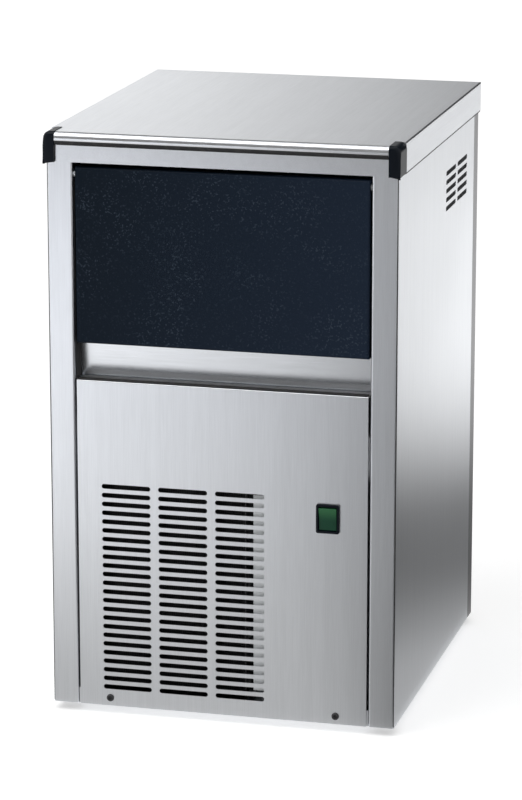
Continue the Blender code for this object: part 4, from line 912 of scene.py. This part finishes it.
def make_rocker():
    """The rocker lens: dished in front by rows of cuts, and tipped to its off side."""
    reach = 0.0113
    half_width = 0.0089
    proud = 0.0052
    dish = 0.001
    tip = math.radians(7)
    near = rocker_pivot - Vector((half_width, proud, reach))
    far = rocker_pivot + Vector((half_width, 0.002, reach))
    rocker = block("switch_lens", near, far)
    rows = [(row / 6, rocker_pivot.z + row * reach / 6) for row in range(-5, 6)]
    with opened(rocker):
        for _, height in rows:
            pick_all()
            bpy.ops.mesh.bisect(plane_co=(0, 0, height), plane_no=(0, 0, 1))
        for share, height in rows:
            pick(rocker, "VERT", both(level(2, height), level(1, rocker_pivot.y - proud)))
            bpy.ops.transform.translate(value=(0, dish * (1 - share**2), 0))
    ease(rocker, 0.0005, 3, 50)
    around = Matrix.Translation(rocker_pivot)
    rocker.matrix_world = around @ Matrix.Rotation(tip, 4, "X") @ around.inverted()
    dress(settle(rocker), lens, "switch_rocker")


def make_rear():
    for word, side in sides:
        node = f"rear_channel_{word}"
        low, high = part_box(node)
        inner = high.x if side < 0 else low.x
        outside = side * body_half
        profile = [(outside, 0.1775), (outside, 0.2005), (inner, 0.2005), (inner, 0.1805)]
        channel = folded(f"{node}_sheet", "xy", profile, (low.z, high.z), (side, 0, 0))
        dress(ease(channel), channel_steel, node)
    low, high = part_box("rear_panel")
    panel = block("rear_sheet", low, high)
    cut(panel, slots("rear_slots", (-column_pitch, high.y, 0.143), 0, 2, 1, 3, 9))
    for x, z, radius in ((inlet_x, inlet_z, 0.0135), (drain_x, drain_z, 0.0093), (gland_x, gland_z, 0.0083)):
        cut(panel, bar("rear_drill", (x, low.y - 0.002, z), (0, 1, 0), radius, 0.006, 48))
    dress(ease(panel, fine_edge, 2, 50), steel_up, "rear_panel")


def make_feet():
    low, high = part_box("foot_front_left")
    middle = (low + high) / 2
    profile = [(0, high.z), (0.011, high.z), (0.012, high.z - 0.001), (0.0125, 0.0055), (0.016, 0.004)]
    profile += [(0.016, 0.001), (0.0148, 0), (0.009, 0), (0.008, 0.0015), (0, 0.0015)]
    foot = turned("foot_front_left_rubber", profile, (middle.x, middle.y, 0), steps=40)
    ease(foot, 0.0004, 2, 50)
    for where in ("front", "rear"):
        for word, _ in sides:
            node = f"foot_{where}_{word}"
            other_low, other_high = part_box(node)
            shift = (other_low + other_high) / 2 - middle
            dress(copied(foot, f"{node}_pad", (shift.x, shift.y, 0)), rubber, node)
    bpy.data.objects.remove(foot)


def make_door_ribs():
    """Stiffening ribs on the hollow back of the door, five upright and three across."""
    low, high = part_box("door_panel")
    wall = 0.0024
    half_rib = 0.0009
    front = low.y + wall
    ribs = []
    for number in range(1, 6):
        x = low.x + (high.x - low.x) * number / 6
        foot = (x - half_rib, front, low.z + wall)
        ribs.append(block("door_rib", foot, (x + half_rib, front + 0.006, high.z - wall)))
    for number in range(1, 4):
        z = low.z + (high.z - low.z) * number / 4
        end = (low.x + wall, front, z - half_rib)
        ribs.append(block("door_rib", end, (high.x - wall, front + 0.005, z + half_rib)))
    attach(joined("door_ribs", *(ease(rib, 0.0004) for rib in ribs)), navy, "door_panel")


# Bin, cooling, water and electrics
def make_bin():
    low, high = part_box("bin_liner")
    mouth_half = 0.1542
    tub = block("bin_liner_tub", low, high)
    with opened(tub, "FACE", facing((0, 0, 1))):
        bpy.ops.mesh.delete(type="FACE")
        pick(tub, "EDGE", between_faces)
        round_off(0.012, 6)
    thicken(tub, 0.003)
    mouth_top = (mouth_half, low.y + 0.0125, high.z + 0.001)
    cut(tub, block("mouth", (-mouth_half, low.y - 0.001, 0.3885), mouth_top))
    holed(tub, ((drain_x, drain_y, low.z - 0.001), (0, 0, 1), drain_bore, 0.006))
    dress(ease(tub, 0.0006, 2, 50), white_plastic, "bin_liner")


def make_evaporator():
    low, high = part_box("evaporator_plate")
    plate = ease(block("evaporator_sheet", (low.x, low.y, high.z - 0.002), high), 0.0004)
    bottom = low.z
    top = high.z - 0.0008
    profile = [(0, top), (0.0105, top), (0.0118, top - 0.0012), (0.0134, bottom + 0.0035)]
    profile += [(0.0140, bottom + 0.0012), (0.0140, bottom), (0.0128, bottom), (0.0122, bottom + 0.0040)]
    profile += [(0.0106, top - 0.0030), (0.0096, top - 0.0016), (0, top - 0.0014)]
    cups = at_each_cup(turned("cup", profile, (cup_first.x, cup_first.y, 0), steps=36))
    dress(joined("evaporator_cups", plate, *cups), tinned, "evaporator_plate")
    turns = serpentine((coil_left, coil_right), 3, lambda row: (cup_first.y + row * cup_pitch, coil_z))
    dress(piped("evaporator_tube", turns, 0.004, cup_pitch / 2, 7), copper, "evaporator_coil")


def make_pipes():
    over_deck = deck_top + 0.1445
    riser = coil_right + 0.008
    fall = coil_left - 0.028
    last_row = cup_first.y + 2 * cup_pitch
    first_y = cup_first.y
    middle_row = cup_first.y + cup_pitch
    x, _, z = valve_place
    discharge_z = pot_place.z + 0.070
    suction_z = pot_place.z + 0.100
    under_deck = 0.2615
    supply_x = -0.1369
    supply_y = 0.1277
    drier_x, drier_y, drier_z = drier_place
    low_run = 0.0215
    pot_x = pot_place.x
    suction = [(coil_right + seam, last_row, coil_z), (riser, last_row, coil_z)]
    suction += [(riser, last_row, pipe_over), (riser, duct, pipe_over), (riser, duct, deck_top - 0.018)]
    suction += [(pot_x, duct, suction_z + 0.05), (pot_x, duct, suction_z), (pot_x, 0.1416, suction_z)]
    pot_y = pot_place.y
    discharge = [(0.0117, pot_y, discharge_z), (x, pot_y, discharge_z), (x, pot_y, under_deck)]
    discharge += [(x, drier_y, under_deck), (x, drier_y, 0.2463)]
    hot_gas = [(x, 0.1336, z), (x, duct, z), (x, duct, deck_top + 0.018), (fall, duct, over_deck)]
    hot_gas += [(fall, duct, pipe_over), (fall, first_y, pipe_over), (fall, first_y, coil_z)]
    hot_gas += [(coil_left - seam, first_y, coil_z)]
    capillary = [(drier_x, drier_y, drier_z - 0.0223), (drier_x, drier_y, low_run), (drier_x, duct, low_run)]
    capillary += [(drier_x, duct, pipe_over), (drier_x, middle_row, pipe_over)]
    capillary += [(fall - 0.0043, middle_row, pipe_over)]
    supply = [(inlet_x, duct, 0.1103), (inlet_x, duct, deck_top), (supply_x, duct, over_deck)]
    supply += [(supply_x, duct, pipe_over), (supply_x, supply_y, pipe_over), (supply_x, supply_y, 0.4618)]
    drain = [(drain_x, drain_y, 0.3145), (drain_x, drain_y, drain_z), (drain_x, 0.1985, drain_z)]
    routes = (
        ("suction_pipe", suction, 0.004, 0.014, copper),
        ("discharge_pipe", discharge, 0.004, 0.014, copper),
        ("hot_gas_pipe", hot_gas, 0.004, 0.014, copper),
        ("capillary_tube", capillary, 0.0015, 0.014, copper),
        ("water_supply_hose", supply, 0.005, 0.018, clear),
        ("drain_hose", drain, 0.009, 0.022, grey_plastic),
    )
    for node, route, radius, bend, finish in routes:
        pipe = piped(f"{node}_run", route, radius, bend, 5)
        if node == "drain_hose":
            holed(pipe, ((drain_x, 0.1805, drain_z), (0, 1, 0), drain_bore, 0.02))
            holed(pipe, ((drain_x, drain_y, 0.30), (0, 0, 1), drain_bore, 0.02))
        dress(pipe, finish, node)


def make_filter_drier():
    neck = 0.003
    shell = 0.0088
    bead = 0.009
    top = 0.102
    tail = -0.022
    profile = [(0, top), (neck, top), (neck, 0.09), (0.0045, 0.0865)]
    for foot in (0.0775, -0.0005):
        profile += [(shell, foot + 0.003), (bead, foot + 0.002), (bead, foot + 0.001), (shell, foot)]
    profile += [(0.0045, -0.0065), (neck, -0.010), (neck, tail), (0, tail)]
    drier = turned("drier_shell", profile, drier_place, steps=40)
    corner = drier_place + Vector((0, 0, top))
    route = [corner - Vector((0, 0, 0.02)), corner, Vector((-0.1403, corner.y, corner.z))]
    drier = joined("drier_with_neck", drier, piped("drier_neck", route, neck, 0.006, 5))
    dress(drier, copper, "filter_drier")


def make_compressor():
    radius = 0.062
    shoulder = 0.120
    crown = 0.030
    weld_height = 0.080
    stub_start = 0.055
    profile = [(0, shoulder + crown)]
    for step in range(11, -1, -1):
        angle = step * math.pi / 24
        profile.append((radius * math.cos(angle), shoulder + crown * math.sin(angle)))
    flange = ((0, 0.004), (0.0014, 0.0032), (0.0028, 0.0012))
    profile += [(radius + out, weld_height + up) for out, up in flange]
    profile += [(radius + out, weld_height - up) for out, up in flange[::-1]]
    profile += [(radius, 0.008), (0.058, 0.001), (0.05, -0.0005), (0, -0.0005)]
    pot = turned("compressor_shell", profile, pot_place, steps=72)
    low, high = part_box("compressor")
    foot = block("compressor_foot", low, (high.x, pot_place.y + 0.055, pot_place.z))
    with opened(foot, "EDGE", runs(2)):
        round_off(0.014, 6)
    parts = [pot, ease(foot, 0.0006)]
    for height, way in ((0.100, (0, 1, 0)), (0.070, (-1, 0, 0))):
        start = pot_place + Vector((0, 0, height)) + Vector(way) * stub_start
        parts.append(bar("stub", start, way, 0.004, 0.021, 24))
        parts.append(bar("stub_collar", start, way, 0.0075, 0.0095, 32, 0.0052))
    dress(joined("compressor_shell", *parts), enamel, "compressor")


def make_compressor_mounts():
    profile = [(0, 0.012), (0.0102, 0.012), (0.011, 0.0112), (0.0102, 0.0085), (0.0082, 0.0070)]
    profile += [(0.0082, 0.0050), (0.0102, 0.0035), (0.011, 0.0008), (0.0102, 0), (0, 0)]
    for where in ("front", "rear"):
        for word, _ in sides:
            node = f"compressor_mount_{where}_{word}"
            low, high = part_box(node)
            place = ((low.x + high.x) / 2, (low.y + high.y) / 2, low.z)
            dress(turned(f"{node}_grommet", profile, place, steps=36), rubber, node)


def make_terminal_cover():
    low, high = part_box("terminal_cover")
    cover = block("terminal_box", low, high)
    with opened(cover, "FACE", facing((0, -1, 0))):
        recess(0.005, 0.002)
    dress(ease(cover, 0.0012, 3), dark_plastic, "terminal_cover")


def make_condenser():
    low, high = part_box("condenser")
    margin = 0.008
    fin_gauge = 0.00035
    fins = 66
    rows = 9
    end_gap = 0.015
    left = low.x + margin
    fin = block("fin", (left, low.y, low.z), (left + fin_gauge, high.y, high.z))
    repeated(fin, fins, ((high.x - margin - left - fin_gauge) / (fins - 1), 0, 0))
    parts = [fin]
    for start in (low.x + 0.0055, high.x - 0.0070):
        plate = block("end_plate", (start, low.y, low.z), (start + 0.0015, high.y, high.z))
        parts.append(ease(plate, 0.0003))
    rise = (high.z - low.z - 2 * end_gap) / (rows - 1)
    bends = (low.x + 0.0045, high.x - 0.0045)
    for share in (0.28, 0.72):
        lane = low.y + (high.y - low.y) * share
        route = serpentine(bends, rows, lambda row: (lane, low.z + end_gap + row * rise))
        parts.append(piped("condenser_tube", route, 0.0042, 0.0125, 4))
    dress(joined("condenser_core", *parts), enamel, "condenser")


def make_fan():
    blades = 5
    root = 0.0128
    length = 0.0585
    half_width = 0.020
    tip_share = 0.85
    profile = [(0.0043, 0.009), (0.0125, 0.009), (0.0150, 0.0075), (0.016, 0.005)]
    profile += [(0.016, -0.007), (0.0145, -0.009), (0.0043, -0.009)]
    hub = turned("fan_hub", profile, fan_place, (0, 1, 0), 48)
    with opened(hub):
        weld(0.00001)
    parts = [hub]
    for number in range(blades):
        blade = add("grid", "fan_vane", x_subdivisions=8, y_subdivisions=12, size=1)
        blade.scale = (2 * half_width, length, 1)
        blade.location = (0, root + length / 2, 0)
        settle(blade)
        with opened(blade):
            mesh = bmesh.from_edit_mesh(blade.data)
            for corner in mesh.verts:
                reach = (corner.co.y - root) / length
                camber = 0.0022 * (1 - (corner.co.x / half_width) ** 2)
                swing = 0.62 + 0.38 * math.sin(math.pi * min(1, 0.25 + reach * 0.75))
                pitch = math.radians(34 - 14 * reach)
                wide = corner.co.x * swing + 0.004 * reach
                if reach > tip_share:
                    wide *= 1 - 0.35 * ((reach - tip_share) / (1 - tip_share)) ** 2
                corner.co.x = wide * math.cos(pitch)
                corner.co.z = wide * math.sin(pitch) + camber
            bmesh.update_edit_mesh(blade.data)
            face_outward()
        modify(blade, "SOLIDIFY", thickness=0.0014, offset=0, use_even_offset=True)
        ease(blade, 0.0004, 2, 60)
        turn = Matrix.Rotation(2 * math.pi * number / blades, 4, "Y") @ Matrix.Rotation(math.pi / 2, 4, "X")
        blade.matrix_world = Matrix.Translation(fan_place) @ turn
        parts.append(settle(blade))
    dress(joined("fan_wheel", *parts), aluminium, "fan_blade")


def make_fan_motor():
    """A finned can with a neck and its shaft, from its back end to the hub."""
    low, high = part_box("fan_motor")
    end = low.y - high.y
    profile = [(0, 0), (0.022, 0), (0.0262, -0.0015), (0.0268, -0.006), (0.0318, -0.008)]
    for ring in range(9):
        top = -0.010 - ring * 0.003
        profile += [(0.032, top), (0.032, top - 0.0018), (0.0308, top - 0.0021), (0.0308, top - 0.0027)]
    profile += [(0.0318, -0.041), (0.028, -0.044), (0.014, -0.044), (0.014, -0.0515), (0.0125, -0.052)]
    profile += [(0.004, -0.052), (0.004, end + 0.0005), (0.0035, end), (0, end)]
    motor = turned("fan_motor_can", profile, (fan_place.x, high.y, fan_place.z), (0, 1, 0), 48)
    dress(motor, enamel, "fan_motor")


def make_pump():
    low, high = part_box("pump_motor")
    end = low.z - high.z
    profile = [(0, 0), (0.0205, 0), (0.0236, -0.0012), (0.025, -0.004)]
    for ring in range(7):
        top = -0.010 - ring * 0.004
        profile += [(0.025, top), (0.0238, top - 0.0006), (0.0238, top - 0.0016), (0.025, top - 0.0022)]
    profile += [(0.025, end + 0.004), (0.0238, end + 0.0008), (0.022, end), (0.0028, end)]
    profile += [(0.0028, end + 0.012), (0, end + 0.012)]
    motor = turned("pump_motor_can", profile, (*pump_axis, high.z), steps=56)
    dress(motor, dark_plastic, "pump_motor")


def make_spray_bar():
    low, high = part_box("spray_bar")
    top = 0.4523
    tip = high.z
    base = ease(block("spray_manifold", low, (high.x, high.y, top)), 0.0015, 3)
    profile = [(0.0035, top - 0.001), (0.0035, top + 0.0012), (0.0026, top + 0.0020), (0.0022, tip - 0.0006)]
    profile += [(0.0016, tip), (0.0008, tip), (0.0008, tip - 0.002), (0, tip - 0.002)]
    jets = at_each_cup(turned("nozzle", profile, (cup_first.x, cup_first.y, 0), steps=20))
    dress(joined("spray_manifold", base, *jets), grey_plastic, "spray_bar")


def make_electrics():
    low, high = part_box("electrical_box")
    screw_in = 0.009
    body = block("electrical_case", low, high)
    with opened(body, "FACE", facing((0, -1, 0))):
        recess(0.0016, 0.0012)
    parts = [ease(body, 0.0012, 3)]
    head = [(0, 0.0009), (0.0024, 0.0007), (0.0032, 0), (0.002, -0.001), (0, -0.001)]
    for x in (low.x + screw_in, high.x - screw_in):
        for z in (low.z + screw_in, high.z - screw_in):
            parts.append(turned("lid_screw", head, (x, low.y + 0.0011, z), (0, -1, 0), 20))
    dress(joined("electrical_case", *parts), zinc, "electrical_box")
    plate_y = -0.1912
    root_y = low.y - 0.0005
    profile = [(0.0312, plate_y), (0.0490, plate_y), (0.0490, root_y), (0.0640, root_y)]
    bracket = folded("box_bracket", "xy", profile, (0.0350, high.z - 0.004), (0, 1, 0), 0.001, 3, 0.001)
    attach(ease(bracket), white_plastic, "electrical_box")


def make_hot_gas_valve():
    low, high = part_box("hot_gas_valve")
    x, y, z = valve_place
    half = Vector((0.014, 0.014, 0.014))
    front = y - half.y
    top = high.z
    coil_bottom = 0.2497
    body = ease(block("valve_brass", valve_place - half, valve_place + half), 0.0015, 3)
    profile = [(0, top), (0.0045, top), (0.005, top - 0.001), (0.005, top - 0.003), (0.0145, top - 0.003)]
    profile += [(0.016, top - 0.0045), (0.016, coil_bottom + 0.0015), (0.0145, coil_bottom)]
    profile += [(0.006, coil_bottom), (0.006, 0.2480), (0, 0.2480)]
    coil = turned("valve_coil", profile, (x, y, 0), steps=48)
    inlet = bar("valve_inlet", (x, low.y, z), (0, 1, 0), 0.004, front - low.y + 0.003, 24)
    nut = ease(bar("valve_nut", (x, front - 0.006, z), (0, 1, 0), 0.0075, 0.0065, 6), 0.0005)
    dress(joined("valve_brass", body, coil, inlet, nut), brass, "hot_gas_valve")


def make_water_inlet():
    """A valve body with its threaded spigot, strainer, solenoid and hose barb."""
    low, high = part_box("water_inlet_valve")
    wall = 0.1790
    half_height = 0.017
    near = (low.x, wall - 0.030, inlet_z - half_height)
    body = ease(block("valve_body", near, (high.x, wall, inlet_z + half_height)), 0.002, 3)
    end = high.y - wall
    bore = 0.009
    root = 0.0118
    profile = [(bore, -0.001), (root, -0.001), (root, 0.0035)]
    for turn in range(8):
        start = 0.0035 + turn * 0.0018
        profile += [(0.0132, start + 0.0007), (0.0132, start + 0.0011), (root, start + 0.0018)]
    profile += [(root, end - 0.0008), (0.0110, end), (0.0098, end), (bore, end - 0.0008), (bore, -0.001)]
    thread = turned("inlet_thread", profile, (inlet_x, wall, inlet_z), (0, 1, 0), 48)
    strainer = bar("inlet_strainer", (inlet_x, wall - 0.0005, inlet_z), (0, 1, 0), 0.0088, 0.006, 32, 0.0045)
    profile = [(0, 0), (0.0115, 0), (0.013, 0.0015), (0.013, 0.021), (0.0115, 0.0225)]
    profile += [(0.0075, 0.0225), (0.0075, 0.026), (0, 0.026)]
    solenoid = turned("inlet_solenoid", profile, (inlet_x, low.y, inlet_z), (0, 1, 0), 40)
    profile = [(0, 0.1100), (0.0026, 0.1100), (0.0040, 0.1075), (0.0032, 0.1074)]
    profile += [(0.0040, 0.1058), (0.0032, 0.1057), (0.0032, 0.103), (0, 0.103)]
    barb = turned("inlet_barb", profile, (inlet_x, duct, 0), steps=24)
    inlet = joined("inlet_valve_body", body, thread, strainer, solenoid, barb)
    dress(inlet, white_plastic, "water_inlet_valve")


def make_cord_gland():
    low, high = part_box("cord_gland")
    start = high.y - 0.018
    back = (0, 1, 0)
    flange = ease(bar("gland_flange", (gland_x, start + seam, gland_z), back, 0.011, 0.0047, 6), 0.0006)
    holed(flange, ((gland_x, start + 0.0025, gland_z), back, 0.004, 0.01))
    profile = [(0.0040, 0.018), (0.0055, 0.018), (0.0070, 0.0165), (0.0085, 0.0105), (0.0092, 0.0080)]
    profile += [(0.0092, 0.004), (0.004, 0.004), (0.004, 0.018)]
    dome = turned("gland_dome", profile, (gland_x, start, gland_z), back, 40)
    shank = bar("gland_shank", (gland_x, low.y, gland_z), back, 0.008, start + 0.001 - low.y, 32)
    dress(joined("gland_body", flange, dome, shank), dark_plastic, "cord_gland")


for word, side in sides:
    make_side_panel(word, side)
make_cover()
make_caps()
make_lower_panel()
make_shade_strips()
make_screws()
make_trim()
make_door()
make_switch()
make_rocker()
make_rear()
make_feet()
make_door_ribs()
make_bin()
make_evaporator()
make_pipes()
make_filter_drier()
make_compressor()
make_compressor_mounts()
make_terminal_cover()
make_condenser()
make_fan()
make_fan_motor()
make_pump()
make_spray_bar()
make_electrics()
make_hot_gas_valve()
make_water_inlet()
make_cord_gland()

# The nodes that no piece stands for yet
for node, piece in nodes.items():
    if not piece.hide_render:
        dress(refined(node), finish_of_slot[slot_of[node]], node)


# Camera, light and floor
def make_camera():
    azimuth = math.radians(14.293)
    elevation = math.radians(14.098)
    distance = 3.723
    half_height = 0.295
    aim_left = 0.0098
    aim_down = 0.0112
    back = Vector((math.sin(azimuth), -math.cos(azimuth), math.tan(elevation))).normalized()
    right = Vector((math.cos(azimuth), math.sin(azimuth), 0))
    aim = Vector((0, 0, half_height)) - right * aim_left - back.cross(right) * aim_down
    data = bpy.data.cameras.new("camera")
    data.sensor_width = 36
    data.lens = 162.9
    data.clip_end = 100
    camera = linked("camera", data)
    camera.location = aim + back * distance
    camera.rotation_euler = (-back).to_track_quat("-Z", "Y").to_euler()
    bpy.context.scene.camera = camera


def make_lamp(name, place, width, height, power):
    data = bpy.data.lights.new(name, "AREA")
    data.shape = "RECTANGLE"
    data.size = width
    data.size_y = height
    data.energy = power
    lamp = linked(name, data)
    lamp.location = place
    lamp.rotation_euler = (Vector((0, 0, 0.3)) - Vector(place)).to_track_quat("-Z", "Y").to_euler()


def glow(name, light, tint=(1, 1, 1)):
    """A material that only glows. Its light and its tint may each be a recipe of nodes."""
    finish = Finish(name, (0, 0, 0), 1.0, Specular_IOR_Level=0.0)
    finish.set(Emission_Color=tint(finish) if callable(tint) else (*tint, 1))
    finish.set(Emission_Strength=light(finish) if callable(light) else light)
    return finish.material


def make_card(name, low, high, light, tint=(1, 1, 1)):
    """A studio card that only polished metal and gloss see, flat between two corners."""
    card = block(name, low, high)
    card.data.materials.append(glow(name, light, tint))
    card.visible_camera = False
    card.visible_diffuse = False
    card.visible_transmission = False
    card.visible_shadow = False


def front_light(finish):
    """White at the left, greyer to the right and close in, brighter again far off."""
    across = finish.along((1, -0.2545, 0))
    ahead = finish.along((0, -1, 0))
    slope = finish.step_line(across, -0.3, 0.36)
    near = finish.step(finish.along((0, 1, 0)), -1.1, -0.25)
    far = finish.step_line(ahead, 1.5, 2.3)
    far_gain = 1 + finish.step_line(ahead, 0.85, 1.35) * 0.17 + finish.step_line(ahead, 2.0, 2.7) * 1.15
    light = (1.38 - slope * 1.02 * (1 + far * 0.12)) * far_gain
    return light * (1 - near * (0.66 - slope * 0.65)) * (1 - finish.step(across, 0.14, 0.31) * 0.85)


def front_tint(finish):
    """Cool daylight far off, plain white close in."""
    far = finish.step_line(finish.along((0, -1, 0)), 0.5, 2.2)
    return finish.mix(far, (1.0, 0.995, 0.985, 1), (0.97, 0.99, 1.04, 1))


def side_light(finish):
    """White far behind, with the dark strip of the machine's own shadow."""
    off = finish.along((1.44, 1, 0))
    beside = 1 - finish.step(finish.along((3.93, -1, 0)), 1.15, 1.6)
    light = 0.16 + finish.step_line(off, 1.12, 1.95) * 1.34 + finish.step_line(off, 0.72, 0.35) * 0.27
    return light * (beside * 0.97 + 0.03)


def back_light(finish):
    across = finish.along((1, 0, 0))
    high = finish.step(finish.along((0, 0, 1)), 1.7, 2.05)
    light = 1.17 - finish.step_line(across, -0.95, -0.1) * 0.89
    return light * (1 - high * 0.94) * (1 - finish.step(across, -0.05, 0.2) * 0.93)


def looked_along(tree):
    """1 for the rays that camera, metal and glass look along, and 0 for the rest."""
    rays = tree.nodes.new("ShaderNodeLightPath").outputs
    kinds = ("Camera", "Glossy", "Transmission")
    camera, gloss, through = (Value(tree, rays[f"Is {kind} Ray"]) for kind in kinds)
    seen = camera + gloss + through
    return seen.math("MINIMUM", seen, 1.0)


def lifted_paper(name, colour, lift):
    """Matt white paper that camera, metal and glass see lifted to white, with its shadows kept."""
    finish = Finish(name, colour, 0.9, Specular_IOR_Level=0.1)
    away = finish.node("VectorMath", {"operation": "LENGTH"}, {0: finish.place}, "Value")
    strength = lift + finish.step(away, 1.0, 5.0) * 0.2
    finish.set(Emission_Color=(1, 1, 1, 1), Emission_Strength=looked_along(finish.tree) * strength)
    return finish.material


def make_stage():
    floor = add("plane", "floor", size=80, location=(0, 0, 0))
    floor.data.materials.append(lifted_paper("white_paper", (0.8, 0.8, 0.8), 0.46))
    make_card("front_card", (-1.8, -3.0, 0.001), (1.4, -0.21, 0.002), front_light, front_tint)
    make_card("side_card", (0.182, -0.2, 0.001), (3.0, 2.6, 0.002), side_light)
    make_card("back_card", (-2.4, 2.6, 0.3), (2.6, 2.61, 4.4), back_light)
    make_card("right_card", (0.42, -2.6, 0.003), (3.0, -0.2, 0.004), 0.04)
    make_card("left_card", (-3.0, -1.2, 0.003), (-0.6, 2.6, 0.004), 0.05)
    make_card("room_card", (-1.7, -3.02, 0.0), (0.0, -3.01, 5.2), 0.06, (1, 0.86, 0.72))
    make_card("ceiling_card", (-1.7, 0.8, 4.3), (0.6, 2.6, 4.31), 0.04)
    world = bpy.data.worlds.new("studio")
    bpy.context.scene.world = world
    world.use_nodes = True
    tree = world.node_tree
    sky = tree.nodes["Background"]
    sky.inputs["Color"].default_value = (1, 1, 1, 1)
    connect(tree, 0.5 + looked_along(tree) * 0.5, sky.inputs["Strength"])


make_camera()
make_lamp("key", (-1.1, -1.1, 3.0), 2.2, 1.8, 34)
make_lamp("top", (0.5, 0.5, 3.2), 2.0, 1.4, 14)
make_stage()
scene = bpy.context.scene
scene.view_settings.view_transform = "Standard"
